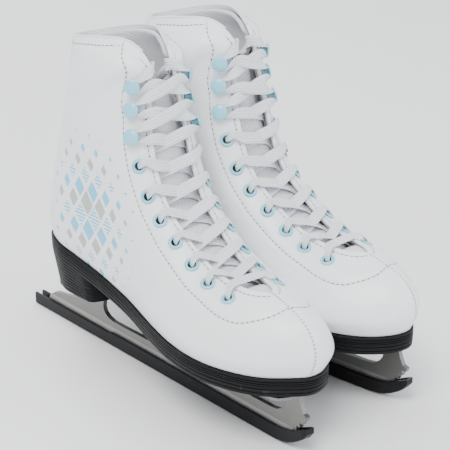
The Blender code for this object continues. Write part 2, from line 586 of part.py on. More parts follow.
def guard_mesh():
    """U channel: a side profile swept across, open above and at the tail, closed and turned up at the toe."""
    # stations from tail to toe: (y, bottom z, floor z, top z)
    st = [(144.5, 0.0, GUARD_FLOOR, 8.2), (120.0, 0.0, GUARD_FLOOR, 8.2), (53.0, 0.0, GUARD_FLOOR, 8.2),
          (51.5, 0.0, GUARD_FLOOR, 9.3), (0.0, 0.0, GUARD_FLOOR, 9.3), (-60.0, 0.0, GUARD_FLOOR, 9.2),
          (-110.0, 0.0, GUARD_FLOOR, 9.0), (-122.0, 0.2, GUARD_FLOOR + 0.1, 9.0), (-128.0, 0.9, 3.2, 9.5),
          (-133.0, 2.2, 4.0, 10.6), (-138.0, 4.2, 6.0, 12.4), (-143.0, 7.0, 9.0, 14.6), (-146.5, 9.4, 11.6, 16.2)]
    hw, hi = GUARD_W / 2, GUARD_W / 2 - GUARD_WALL
    pts, faces = [], []
    for y, zb, zf, zt in st:
        pts += [(-hw, y, zt), (-hw, y, zb + 0.6), (-hw + 0.6, y, zb), (hw - 0.6, y, zb), (hw, y, zb + 0.6), (hw, y, zt),
                (hi, y, zt), (hi, y, zf), (-hi, y, zf), (-hi, y, zt)]
    n = 10
    for k in range(len(st) - 1):
        for i in range(n):
            j = (i + 1) % n
            faces.append((k * n + i, k * n + j, (k + 1) * n + j, (k + 1) * n + i))
    faces.append((0, 9, 8, 1))
    faces.append((1, 8, 7, 4, 3, 2))
    faces.append((4, 7, 6, 5))
    # nose: the walls close over a solid rounded tip
    last = (len(st) - 1) * n
    yt = -150.0
    base = len(pts)
    pts += [(-hw + 0.8, yt, 17.4), (-hw + 0.8, yt, 13.6), (hw - 0.8, yt, 13.6), (hw - 0.8, yt, 17.4)]
    pts += [(-hi, -148.4, 16.9), (hi, -148.4, 16.9)]
    a = last
    faces += [(a + 0, a + 1, base + 1, base + 0), (a + 1, a + 2, base + 1), (a + 2, a + 3, base + 2, base + 1),
              (a + 3, a + 4, base + 2), (a + 4, a + 5, base + 3, base + 2), (base + 0, base + 1, base + 2, base + 3)]
    faces += [(a + 0, base + 0, base + 4, a + 9), (a + 5, a + 6, base + 5, base + 3), (base + 0, base + 3, base + 5, base + 4)]
    faces += [(a + 9, base + 4, a + 8), (a + 6, a + 7, base + 5), (a + 8, base + 4, base + 5, a + 7)]
    return pts, faces


def blade(skate, tag):
    prof = blade_profile()
    pts, faces = extrude_x(prof, -BLADE_T / 2, BLADE_T / 2)
    build(f"runner_{tag}", pts, faces, "steel_blade", skate, smooth=False)
    gp, gf = guard_mesh()
    build(f"guard_{tag}", gp, gf, "guard_black", skate, smooth=False, origin=(0, -8, 0))

    def plate(name, y0, y1, w0, w1, z, holes):
        """A mounting plate with rounded ends; its screws sit in countersunk bores right through it."""
        prof = []
        for a in np.linspace(-90, 90, 7):
            prof.append((w1 * math.sin(math.radians(a)) * 1.0, y1 + 8 * math.cos(math.radians(a)) - 8))
        for a in np.linspace(90, 270, 7):
            prof.append((w0 * math.sin(math.radians(a)) * 1.0, y0 + 8 * math.cos(math.radians(a)) + 8))
        n = len(prof)
        pts = [(x, y, z) for x, y in prof] + [(x, y, z + PLATE_T) for x, y in prof]
        faces = [tuple(range(n)), tuple(range(2 * n - 1, n - 1, -1))]
        faces += [(i, n + i, n + (i + 1) % n, (i + 1) % n) for i in range(n)]
        obj = build(name, pts, faces, "steel_plate", skate, smooth=False)
        steps = []
        for k, (x, y) in enumerate(holes):
            p, f = lathe([(0, -3), (3.3, -3), (3.3, 0.9), (2.2, 2.4), (2.2, 4), (0, 4)], np.array([x, y, z]), (0, 0, 1), 8)
            steps.append(("DIFFERENCE", build(f"{name}_cut{k}", p, f, "steel_plate", skate, hidden=True)))
        apply_booleans(obj, steps)
        for p in obj.data.polygons:
            p.use_smooth = False

    def screw(name, x, y, z, top):
        p, f = lathe([(0, -0.6), (2.9, 0.0), (2.9, 0.85), (1.8, 2.0), (1.8, top), (0, top)],
                     np.array([x, y, z]), (0, 0, 1), 7)
        build(name, p, f, "screw_steel", skate)

    zf, zr = 35.6, 35.2
    front = [(-11.0, -132.0), (11.0, -132.0), (-19.0, -74.0), (19.0, -74.0)]
    rear = [(-10.5, 75.0), (10.5, 75.0)]
    plate(f"front_plate_{tag}", -142.0, -62.0, 17.0, 26.0, zf, front)
    plate(f"heel_plate_{tag}", 48.5, 100.0, 15.0, 16.0, zr, rear)
    for k, (x, y) in enumerate(front):
        screw(f"screw_front_{k + 1}_{tag}", x, y, zf, sole_z(y) - SOLE_T - 0.35 - zf)
    for k, (x, y) in enumerate(rear):
        screw(f"screw_heel_{k + 1}_{tag}", x, y, zr, HEEL_BOTTOM_Z - 0.3 - zr)


TONGUE_PIVOT = (0.0, -96.0, 84.0)


def tongue_surface(u, w, depth):
    """A point under the facings: w from -1 (outer edge) to 1 (inner edge), depth below the skin."""
    side = -1 if w < 0 else 1
    knots = []
    for s, v in ((-1, 4.6), (-1, 5.3), (-1, 6.0), (1, 6.0), (1, 5.3), (1, 4.6)):
        vv = min(v, 5.9)
        knots.append(skin(s, u, v) - skin_normal(s, u, vv) * depth)
    knots = np.array(knots)
    t = (w + 1) / 2 * 5
    i = min(int(t), 4)
    p1, p2 = knots[i], knots[i + 1]
    p0 = knots[i - 1] if i > 0 else 2 * p1 - p2
    p3 = knots[i + 2] if i < 4 else 2 * p2 - p1
    return catmull(p0, p1, p2, p3, t - i)


def tongue(skate, tag):
    us = np.array([2.9, 3.5, 4.3, 5.1, 5.9, 6.7, 7.5, 8.3, 9.1, 9.8, 10.2])
    ws = np.linspace(-1, 1, 9)
    outer, inner = [], []
    for u in us:
        for w in ws:
            wn = w * (0.8 if u < 3.2 else 0.92)
            thick = 5.6 * (1 - 0.55 * abs(w) ** 3) * (0.6 if u in (us[0], us[-1]) else 1.0)
            outer.append(tongue_surface(u, wn, 7.3))
            inner.append(tongue_surface(u, wn, 7.3 + thick))
    build(f"tongue_{tag}", outer + inner, shell_faces(len(us), len(ws)), "tongue_white", skate,
          origin=TONGUE_PIVOT)


# ---------------------------------------------------------------- lace
def lace_frames():
    """The lace's whole route in the right skate's frame: (point, width direction, half width, half thickness)."""
    fr = []
    wide, thick = LACE_W / 2, LACE_T / 2

    def at(side, k):
        u, v = FASTENERS[k]
        return skin(side, u, v), skin_normal(side, u, v), u, v

    def along(side, u):
        d = skin(side, u + 0.2, 6) - skin(side, u - 0.2, 6)
        return d / np.linalg.norm(d)

    def climb(side, k):
        """From eyelet or hook k on `side`, up to fastener k+1 on the other side."""
        seq = []
        c, n, u, v = at(side, k)
        c2, n2, u2, v2 = at(-side, k + 1)
        um = u + (u2 - u) * 0.38
        edge1, ne1 = skin(side, um, 5.95), skin_normal(side, um, 5.85)
        um2 = u + (u2 - u) * 0.80
        edge2, ne2 = skin(-side, um2, 5.95), skin_normal(-side, um2, 5.85)
        t1 = along(side, um)
        mid = (edge1 + edge2) / 2
        nm = ne1 + ne2
        nm /= np.linalg.norm(nm)
        bump = 1.15 if side < 0 else -1.15
        over1 = k >= 7
        lift1 = 2.0 if over1 else -5.4
        if k < 7:
            toward = skin(side, u, 5.5) - c
            toward /= np.linalg.norm(toward)
            seq.append((c - n * 5.1 + toward * 1.3, None, 1.5, 0.5))
            q = skin(side, u + (um - u) * 0.55, 5.5)
            seq.append((q - skin_normal(side, u + (um - u) * 0.55, 5.5) * 5.3, t1, wide * 0.7, thick))
        seq.append((edge1 + ne1 * lift1, t1, wide, thick))
        zmid = (0.5 * (lift1 + 1.9)) + bump if not over1 else 1.9 + bump
        seq.append((mid + nm * zmid, t1, wide, thick))
        seq.append((edge2 + ne2 * 2.4, along(-side, um2), wide, thick))
        return seq

    def through(side, k):
        """Down the bore of eyelet k, from outside."""
        c, n, u, v = at(side, k)
        t = along(side, u)
        centre = skin(side, u, 5.55)
        toward = skin(side, u, 5.5) - c
        toward /= np.linalg.norm(toward)
        return [(centre + n * 3.8, t, LACE_W / 2 * 0.6, thick),
                (c + n * 2.5 + toward * 1.2, None, 1.4, 0.5),
                (c + n * 0.9, None, 1.3, 0.5), (c - n * 3.9, None, 1.3, 0.5)]

    def round_hook(side, k):
        """Round the stem of hook k on its outer side, on edge between base and cap."""
        c, n, u, v = at(side, k)
        t = along(side, u)
        t = t - n * np.dot(t, n)
        t /= np.linalg.norm(t)
        out = np.cross(n, t)
        away = skin(side, u, 4.6) - skin(side, u, 5.4)
        if np.dot(out, away) < 0:
            out = -out
        r = HOOK_STEM_R + 1.25
        seq = []
        for ang in (-75, 0, 75):
            g = math.radians(ang)
            seq.append((c + n * 2.95 + (out * math.cos(g) + t * math.sin(g)) * r, n, 1.1, 0.5))
        before = (c - out * 3.8 - t * 4.0 + n * 3.1, n + t * 0.7, 1.5, 0.5)
        after = (c - out * 3.8 + t * 4.0 + n * 3.1, n - t * 0.7, 1.5, 0.5)
        return [before] + seq + [after]

    def strand(side0):
        """One half of the lace from the bottom bar up to the tail, starting at eyelet 0 on side0."""
        seq = []
        side = side0
        seq += through(side, 0)
        for k in range(0, 9):
            seq += climb(side, k)
            side = -side
            if k + 1 < 7:
                seq += through(side, k + 1)
            else:
                seq += round_hook(side, k + 1)
        # tail: from the top hook over the facing's edge, then down into the shaft
        u, v = FASTENERS[9]
        t = along(side, u)
        e = skin(side, u + 0.25, 5.95)
        ne = skin_normal(side, u + 0.25, 5.85)
        seq.append((e + ne * 2.4, t, wide, thick))
        inward = np.array([-side * 1.0, 0.0, 0.0])
        s = side
        down = e - ne * 3.0 + np.array([-s * 3.2, 0, 1.5])
        seq.append((down, t, wide, thick))
        seq.append((np.array([s * 9.0, -1.5, 205.0]), (0, 0.2, -1), wide, thick))
        col = s * 9.5
        for z, y in ((199, 6.5), (190, 13.5), (180, 18.5), (168, 20.5), (150, 21.0), (132, 21.0)):
            seq.append((np.array([col, y, z]), (1, 0, 0), wide, thick))
        # the slack lies folded in the heel of the shaft
        z = 124.0
        y0, y1 = 22.0, 62.0
        for f in range(3):
            ya, yb = (y0, y1) if f % 2 == 0 else (y1, y0)
            zz = z - f * 5.0
            seq.append((np.array([col, ya + (yb - ya) * 0.12, zz]), (1, 0, 0), wide, thick))
            seq.append((np.array([col, ya + (yb - ya) * 0.5, zz - 0.4]), (1, 0, 0), wide, thick))
            seq.append((np.array([col, ya + (yb - ya) * 0.88, zz - 0.8]), (1, 0, 0), wide, thick))
            if f < 2:
                seq.append((np.array([col, yb + (2.0 if yb > ya else -2.0), zz - 2.9]), (1, 0, 0), wide, thick))
        return seq

    left = strand(-1)
    right = strand(1)
    u0, v0 = FASTENERS[0]
    bar = []
    for side, w in ((-1, 1.0), (-1, 0.45)):
        e = skin(side, u0, 5.95)
        n = skin_normal(side, u0, 5.85)
        bar.append((np.array([e[0] * (1.0 if w == 1.0 else 0.35), e[1], e[2] + (0.0 if w == 1.0 else 0.3)]) + n * 1.6, along(side, u0), wide, thick))
    barR = [(np.array([-p[0], p[1], p[2]]), np.array([-d[0], d[1], d[2]]), hw, ht) for p, d, hw, ht in bar]
    frames = list(reversed(left)) + bar + list(reversed(barR)) + right
    return frames


def smooth_path(frames, per_mm=16.0):
    """Catmull-Rom through the frames, resampled, with the width direction kept square to the run."""
    P = np.array([f[0] for f in frames])
    n = len(P)
    D = [None] * n
    for i, f in enumerate(frames):
        D[i] = None if f[1] is None else np.array(f[1], float)
    known = [i for i in range(n) if D[i] is not None]
    for i in range(n):
        if D[i] is None:
            a = max([k for k in known if k < i], default=known[0])
            b = min([k for k in known if k > i], default=known[-1])
            D[i] = D[a] * (b - i) + D[b] * (i - a) if b > a else D[a]
    for i in range(n):
        D[i] = D[i] / np.linalg.norm(D[i])
        if i and np.dot(D[i], D[i - 1]) < 0:
            D[i] = -D[i]
    HW = np.array([f[2] for f in frames])
    HT = np.array([f[3] for f in frames])
    out = []
    for i in range(n - 1):
        p0, p1, p2, p3 = P[max(i - 1, 0)], P[i], P[i + 1], P[min(i + 2, n - 1)]
        length = np.linalg.norm(p2 - p1)
        steps = max(1, int(round(length / per_mm)))
        l0 = max(np.linalg.norm(p1 - p0), 1e-6)
        l2 = max(np.linalg.norm(p3 - p2), 1e-6)
        m1 = ((p2 - p1) / length + (p1 - p0) / l0) * 0.5 * length if i else (p2 - p1)
        m2 = ((p3 - p2) / l2 + (p2 - p1) / length) * 0.5 * length if i < n - 2 else (p2 - p1)
        for s in range(steps):
            t = s / steps
            h = (2 * t ** 3 - 3 * t ** 2 + 1) * p1 + (t ** 3 - 2 * t ** 2 + t) * m1 + (-2 * t ** 3 + 3 * t ** 2) * p2 + (t ** 3 - t ** 2) * m2
            out.append((h, D[i] * (1 - t) + D[i + 1] * t, HW[i] * (1 - t) + HW[i + 1] * t, HT[i] * (1 - t) + HT[i + 1] * t))
    out.append((P[-1], D[-1], HW[-1], HT[-1]))
    return out


def ribbon(frames):
    pts, faces = [], []
    C = np.array([f[0] for f in frames])
    T = np.gradient(C, axis=0)
    T /= np.linalg.norm(T, axis=1)[:, None] + 1e-12
    for (c, d, hw, ht), t in zip(frames, T):
        d = d - t * np.dot(d, t)
        d /= np.linalg.norm(d) + 1e-12
        n = np.cross(t, d)
        for a, b in ((-1, -1), (1, -1), (1, 1), (-1, 1)):
            pts.append(c + d * hw * a + n * ht * b)
    m = 4
    for k in range(len(frames) - 1):
        for i in range(m):
            j = (i + 1) % m
            faces.append((k * m + i, k * m + j, (k + 1) * m + j, (k + 1) * m + i))
    faces.append((0, 1, 2, 3))
    e = (len(frames) - 1) * m
    faces.append((e + 3, e + 2, e + 1, e))
    return pts, faces


def lace(skate, tag):
    frames = smooth_path(lace_frames())
    pts, faces = ribbon(frames)
    build(f"lace_{tag}", pts, faces, "lace_white", skate, smooth=False)


# ---------------------------------------------------------------- build
for side_skate in (-1, 1):
    make_skate(side_skate)
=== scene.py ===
"""Looks of the pair of figure skates: grained leather uppers with stitching, padded lining and tongue, woven laces,
enamelled fasteners, layered soles, steel blades and moulded guards."""
import math
import bmesh
import bpy
import numpy as np
from mathutils import Matrix, Vector


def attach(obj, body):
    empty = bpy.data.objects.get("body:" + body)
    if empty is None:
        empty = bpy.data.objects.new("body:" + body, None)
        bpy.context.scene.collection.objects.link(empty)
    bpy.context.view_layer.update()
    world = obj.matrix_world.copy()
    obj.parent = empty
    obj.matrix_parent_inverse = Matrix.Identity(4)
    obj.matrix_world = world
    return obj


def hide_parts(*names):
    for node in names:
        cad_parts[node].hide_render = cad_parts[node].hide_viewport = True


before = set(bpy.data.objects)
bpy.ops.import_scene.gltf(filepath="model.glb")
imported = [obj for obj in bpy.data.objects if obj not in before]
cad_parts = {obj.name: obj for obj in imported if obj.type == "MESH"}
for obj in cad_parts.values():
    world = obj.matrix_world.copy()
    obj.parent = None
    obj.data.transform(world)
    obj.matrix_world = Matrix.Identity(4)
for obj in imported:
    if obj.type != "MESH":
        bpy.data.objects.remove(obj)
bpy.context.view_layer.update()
bpy.context.scene.frame_set(1)

# ---------------------------------------------------------------- camera
YAW, PITCH, ROLL = math.radians(42.7986), math.radians(21.3528), math.radians(-0.1728)
forward = Vector((math.sin(YAW) * math.cos(PITCH), math.cos(YAW) * math.cos(PITCH), -math.sin(PITCH)))
flat_right = Vector((math.cos(YAW), -math.sin(YAW), 0.0))
flat_up = flat_right.cross(forward)
cam_right = flat_right * math.cos(ROLL) + flat_up * math.sin(ROLL)
cam_up = -flat_right * math.sin(ROLL) + flat_up * math.cos(ROLL)
cam_data = bpy.data.cameras.new("camera")
cam_data.lens = 1744.946 * 36.0 / 450.0
cam_data.sensor_width = 36.0
cam_data.clip_start, cam_data.clip_end = 0.05, 50.0
camera = bpy.data.objects.new("camera", cam_data)
bpy.context.scene.collection.objects.link(camera)
m = Matrix((cam_right, cam_up, -forward)).transposed().to_4x4()
m.translation = Vector((-0.71411, -0.79762 + 0.0043, 0.51096))
camera.matrix_world = m
bpy.context.scene.camera = camera

# ---------------------------------------------------------------- dimensions
PAIR_SPACING = 73.0        # between the two blades, at the middle
PAIR_STAGGER = 4.0         # the left skate stands this much further back
SPLAY_DEG = 4.0            # toes turned out, each skate
CENTRE_SHIFT = (0.0, 4.3)  # puts the bounding box over the origin

UPPER_T = 2.2              # leather-look upper
STAY_GAP, STAY_T = 0.35, 0.9
LINING_GAP, LINING_T = 0.6, 1.9
LINING_COLLAR_T = 3.6
WELT_T, SOLE_T = 4.6, 11.8
SOLE_OUT = 1.5
HEEL_BOTTOM_Z = 37.6
BLADE_T = 3.2
GUARD_W, GUARD_WALL, GUARD_FLOOR = 7.6, 1.8, 2.6
PLATE_T = 2.0
EYELET_R, EYELET_BORE_R, EYELET_BARREL_R = 4.7, 2.6, 3.1
HOOK_CAP_R, HOOK_STEM_R, HOOK_BASE_R = 5.2, 1.7, 3.9
LACE_W, LACE_T = 7.0, 1.0
GAP = 0.3

# Rows of the boot's skin, from the edge above the sole up to the facing and
# rim. Each entry: outer x, y, inner x, y, z. Sixteen columns, toe to heel.
ROW_F = [(0.5, -148.5, 0.5, -148.5), (-12, -140, 13.5, -146), (-22.5, -128.5, 25.5, -135),
         (-30.5, -113.5, 34, -118.5), (-35.5, -95, 38, -99.5), (-36.8, -76, 37.5, -80),
         (-35, -57, 34.5, -60.5), (-31.5, -38, 30, -41), (-27.3, -19, 25.3, -21),
         (-24.2, 0, 22, -1), (-23, 20, 21.3, 20), (-23.3, 40, 22.5, 40),
         (-24.3, 60, 24, 60), (-24, 79, 24, 79), (-16.5, 97, 16.5, 97), (0, 105.5, 0, 105.5)]
ROW_A = [(0.5, -153.3, 0.5, -153.3, 63), (-14.5, -144, 16, -150, 61.5), (-26, -131, 29, -137.5, 60.5),
         (-34.3, -114.5, 37.7, -119.5, 60), (-39.3, -95, 41.3, -99.5, 60.5), (-40.3, -75, 40.8, -79, 61),
         (-38.3, -56, 37.8, -59.5, 62.5), (-34.8, -37, 33.5, -39.5, 64.5), (-30.7, -18, 28.8, -19.5, 68),
         (-27.8, 1, 25.8, 0.5, 72), (-26.8, 20.5, 25.5, 20.5, 76.5), (-27.3, 40, 26.8, 40, 81),
         (-28, 59.5, 27.8, 59.5, 85), (-26.8, 79.5, 26.8, 79.5, 87.5), (-18, 98.5, 18, 98.5, 88.5),
         (0, 108, 0, 108, 89)]
ROW_B = [(0.5, -151.3, 0.5, -151.3, 74.5), (-13, -143, 14.3, -148, 72.5), (-24.3, -129, 27, -134, 71),
         (-32.5, -112, 35.3, -116, 70.5), (-37, -92, 38.5, -95.5, 71), (-38, -72, 38.3, -75.5, 73),
         (-36.8, -53, 36, -55.5, 75.5), (-33.8, -34, 32.5, -36, 79), (-30.8, -14.5, 29, -16, 84.5),
         (-28.8, 4.5, 27.3, 4, 91), (-28.2, 23, 27.3, 23, 97), (-28.5, 41, 28, 41, 101.5),
         (-28.8, 58.5, 28.5, 58.5, 104.5), (-27, 77, 27, 77, 106.5), (-17.5, 94.5, 17.5, 94.5, 107.5),
         (0, 103.5, 0, 103.5, 108)]
ROW_C = [(0.5, -142.5, 0.5, -142.5, 84.5), (-11.5, -136, 12.5, -140, 82), (-22, -122.5, 24, -126, 79.5),
         (-29.5, -105.5, 31.5, -108.5, 79), (-33.5, -86, 34, -88.5, 80.5), (-35, -67, 34.7, -69.5, 83.5),
         (-34.5, -49, 34, -51, 88), (-32.8, -31, 32, -32.5, 94), (-31, -12.5, 30.3, -13.5, 103),
         (-29.8, 5, 29.3, 4.5, 115), (-29.2, 22, 28.8, 22, 125), (-29, 38, 29, 38, 130.5),
         (-28.6, 54, 28.6, 54, 133), (-26, 71.5, 26, 71.5, 134), (-16.5, 88.5, 16.5, 88.5, 134),
         (0, 95.5, 0, 95.5, 134)]
ROW_D = [(0.4, -129.5, 0.4, -129.5, 89.8), (-10, -126, 11, -128, 88.3), (-19.5, -115, 21, -117, 86.3),
         (-26, -100, 27.5, -102, 85.7), (-28.5, -81.5, 29, -83, 88.3), (-29.3, -64, 29.3, -65, 93.7),
         (-29.5, -47.3, 29.5, -47.8, 101.5), (-29.7, -31, 29.5, -31.3, 111), (-29.8, -14.5, 29.7, -14.7, 124.5),
         (-29.8, 0, 29.8, 0, 146), (-30, 12, 30, 12, 164), (-30.5, 24, 30.5, 24, 172),
         (-30.8, 37, 30.8, 37, 174), (-28.8, 54, 28.8, 54, 173), (-18.5, 74, 18.5, 74, 171), (0, 84, 0, 84, 169)]
ROW_E = [(0.3, -119.5, 0.3, -119.5, 92.6), (-8.5, -117.5, 8.8, -118, 91.8), (-15.5, -109.5, 15.8, -110, 90.5),
         (-19.5, -95.5, 19.5, -95.8, 89.3), (-20.3, -78.5, 20.3, -78.7, 93), (-20.8, -62.3, 20.8, -62.4, 101),
         (-21.7, -47.3, 21.7, -47.3, 111.3), (-22.5, -33, 22.5, -33, 121.7), (-23.2, -20.5, 23.2, -20.5, 136.5),
         (-22.9, -8.5, 22.9, -8.5, 165), (-19.2, -3.5, 19.2, -3.5, 190), (-20.2, -2.5, 20.2, -2.5, 207.5),
         (-29.0, 9, 29.0, 9, 209.5), (-30.8, 31, 30.8, 31, 207.5), (-22, 60, 22, 60, 203), (0, 77, 0, 77, 198)]
ROW_T = [(0.0, -113, 0.0, -113, 93.8), (-3.5, -110.5, 3.5, -110.5, 94), (-7.5, -104, 7.5, -104, 94.3),
         (-10, -91, 10, -91, 95.3), (-11, -75, 11, -75, 98.3), (-11.8, -59.5, 11.8, -59.5, 105.5),
         (-12.7, -45, 12.7, -45, 115.5), (-13.3, -31.5, 13.3, -31.5, 127), (-13.8, -22.5, 13.8, -22.5, 143),
         (-13.6, -15, 13.6, -15, 167), (-11.2, -10.5, 11.2, -10.5, 192), (-8.6, -7, 8.6, -7, 213.2),
         (-13.5, 8.5, 13.5, 8.5, 225.3), (-22.5, 30, 22.5, 30, 225), (-21, 57, 21, 57, 219.5), (0, 74.5, 0, 74.5, 215.5)]
SOLE_Z = [(-160, 51.2), (-150, 51.0), (-130, 50.0), (-90, 50.0), (-50, 51.0), (-20, 53.5), (0, 57.0),
          (20, 61.0), (40, 65.5), (60, 69.5), (80, 72.5), (105, 74.5), (120, 75.0)]
def sole_z(y):
    return float(np.interp(y, [p[0] for p in SOLE_Z], [p[1] for p in SOLE_Z]))


def ring(row, is_feather=False):
    """The row as a closed ring of columns: outer toe to heel, then inner heel to toe."""
    outer = [(r[0], r[1], sole_z(r[1]) + 0.4 if is_feather else r[4]) for r in row]
    inner = [(r[2], r[3], sole_z(r[3]) + 0.4 if is_feather else r[4]) for r in row]
    return np.array(outer + inner[-2:0:-1], float)


NET = np.array([ring(ROW_F, True), ring(ROW_A), ring(ROW_B), ring(ROW_C), ring(ROW_D), ring(ROW_E), ring(ROW_T)])


def catmull(p0, p1, p2, p3, t):
    return 0.5 * ((2 * p1) + (p2 - p0) * t + (2 * p0 - 5 * p1 + 4 * p2 - p3) * t * t
                  + (3 * p1 - p0 - 3 * p2 + p3) * t ** 3)


def skin(side, u, v):
    """A point of the boot's outer skin. side -1 outer, +1 inner; u 0 toe to 15 heel; v 0 sole to 6 top."""
    n = NET.shape[1]
    pos = u if side < 0 else n - u
    i = int(math.floor(pos))
    t = pos - i
    cols = catmull(NET[:, (i - 1) % n], NET[:, i % n], NET[:, (i + 1) % n], NET[:, (i + 2) % n], t)
    v = min(max(v, 0.0), 6.0)
    j = min(int(v), 5)
    s = v - j
    p1, p2 = cols[j], cols[j + 1]
    p0 = cols[j - 1] if j > 0 else 2 * p1 - p2
    p3 = cols[j + 2] if j < 5 else 2 * p2 - p1
    return catmull(p0, p1, p2, p3, s)


def skin_normal(side, u, v):
    du, dv = 0.04, 0.04
    a = skin(side, u + du, v) - skin(side, u - du, v)
    b = skin(side, u, min(v + dv, 6.0)) - skin(side, u, max(v - dv, 0.0))
    n = np.cross(a, b) * (1 if side < 0 else -1)
    n /= np.linalg.norm(n) + 1e-12
    p = skin(side, u, v)
    ref = p - np.array([0.0, min(max(p[1], -120.0), 55.0), 70.0 if p[1] < -20 else p[2]])
    return n if np.dot(n, ref) > 0 else -n


def place(points, side_skate):
    """Skate frame in mm to world in m. side_skate -1 right skate (at -x), +1 left skate, mirrored."""
    p = np.array(points, float).reshape(-1, 3).copy()
    if side_skate > 0:
        p[:, 0] *= -1
    a = math.radians(SPLAY_DEG) * side_skate
    c, s = math.cos(a), math.sin(a)
    x = p[:, 0] * c - p[:, 1] * s + side_skate * PAIR_SPACING / 2 + CENTRE_SHIFT[0]
    y = p[:, 0] * s + p[:, 1] * c + side_skate * PAIR_STAGGER / 2 + CENTRE_SHIFT[1]
    return np.stack([x, y, p[:, 2]], 1) * 0.001


def shell_faces(nu, nv):
    """Faces of a slab given as grid A (outer) then grid B (inner), each nu x nv, point index i*nv+j."""
    off = nu * nv
    f = []
    for i in range(nu - 1):
        k = i + 1
        for j in range(nv - 1):
            a, b, c, d = i * nv + j, k * nv + j, k * nv + j + 1, i * nv + j + 1
            f.append((a, b, c, d))
            f.append((off + a, off + d, off + c, off + b))
        for j in (0, nv - 1):
            a, b = i * nv + j, k * nv + j
            f.append((a, off + a, off + b, b) if j == 0 else (a, b, off + b, off + a))
    for i in (0, nu - 1):
        for j in range(nv - 1):
            a, b = i * nv + j, i * nv + j + 1
            f.append((a, b, off + b, off + a) if i == 0 else (a, off + a, off + b, b))
    return f


def lathe(profile, centre, axis, steps=12):
    """A solid of revolution: profile (radius, height) from the axis out and back to it."""
    axis = np.array(axis, float)
    axis /= np.linalg.norm(axis)
    ref = np.array([0, 0, 1.0]) if abs(axis[2]) < 0.8 else np.array([0, 1.0, 0])
    e1 = np.cross(axis, ref)
    e1 /= np.linalg.norm(e1)
    e2 = np.cross(axis, e1)
    pts, rings, faces = [], [], []
    for r, h in profile:
        if r < 1e-6:
            rings.append([len(pts)])
            pts.append(centre + axis * h)
        else:
            rings.append(list(range(len(pts), len(pts) + steps)))
            for k in range(steps):
                a = 2 * math.pi * (k + 0.37) / steps
                pts.append(centre + axis * h + (e1 * math.cos(a) + e2 * math.sin(a)) * r)
    for a, b in zip(rings[:-1], rings[1:]):
        for k in range(steps):
            k2 = (k + 1) % steps
            if len(a) == 1 and len(b) > 1:
                faces.append((a[0], b[k], b[k2]))
            elif len(b) == 1 and len(a) > 1:
                faces.append((a[k], b[0], a[k2]))
            elif len(a) > 1:
                faces.append((a[k], b[k], b[k2], a[k2]))
    return pts, faces


def joined(solids):
    """Several (points, faces) as one."""
    pts, faces = [], []
    for p, f in solids:
        faces += [tuple(i + len(pts) for i in face) for face in f]
        pts += list(p)
    return pts, faces


# ---------------------------------------------------------------- fastener places
# Columns (u) and rows (v) of the lacing fasteners: seven eyelets from the toe up, then three hooks.
EYELET_UV = [(2.95, 5.0), (4.05, 5.0), (4.98, 5.0), (5.98, 5.0), (6.98, 5.0), (7.88, 5.0), (8.55, 5.0)]
HOOK_UV = [(9.15, 5.0), (9.8, 5.0), (10.55, 5.0)]
FASTENERS = EYELET_UV + HOOK_UV


def outline_closed(grow, count=52):
    """The sole outline: the feather edge pushed outward by grow, as (x, y) points."""
    ringpts = NET[0][:, :2]
    n = len(ringpts)
    dense = []
    for k in range(n * 6):
        pos = k / 6.0
        i = int(pos)
        dense.append(catmull(ringpts[(i - 1) % n], ringpts[i % n], ringpts[(i + 1) % n], ringpts[(i + 2) % n], pos - i))
    dense = np.array(dense)
    nxt, prv = np.roll(dense, -1, 0), np.roll(dense, 1, 0)
    t = nxt - prv
    t /= np.linalg.norm(t, axis=1)[:, None]
    nrm = np.stack([t[:, 1], -t[:, 0]], 1)
    c = dense.mean(0)
    if np.sum((dense - c) * nrm) < 0:
        nrm = -nrm
    out = dense + nrm * grow
    seg = np.linalg.norm(np.roll(out, -1, 0) - out, axis=1)
    total = np.concatenate([[0], np.cumsum(seg)])
    closed = np.vstack([out, out[:1]])
    want = np.linspace(0, total[-1], count, endpoint=False)
    return np.stack([np.interp(want, total, closed[:, 0]), np.interp(want, total, closed[:, 1])], 1)


NAMES = {-1: "right", 1: "left"}


def tongue_surface(u, w, depth):
    """A point under the facings: w from -1 (outer edge) to 1 (inner edge), depth below the skin."""
    side = -1 if w < 0 else 1
    knots = []
    for s, v in ((-1, 4.6), (-1, 5.3), (-1, 6.0), (1, 6.0), (1, 5.3), (1, 4.6)):
        vv = min(v, 5.9)
        knots.append(skin(s, u, v) - skin_normal(s, u, vv) * depth)
    knots = np.array(knots)
    t = (w + 1) / 2 * 5
    i = min(int(t), 4)
    p1, p2 = knots[i], knots[i + 1]
    p0 = knots[i - 1] if i > 0 else 2 * p1 - p2
    p3 = knots[i + 2] if i < 4 else 2 * p2 - p1
    return catmull(p0, p1, p2, p3, t - i)


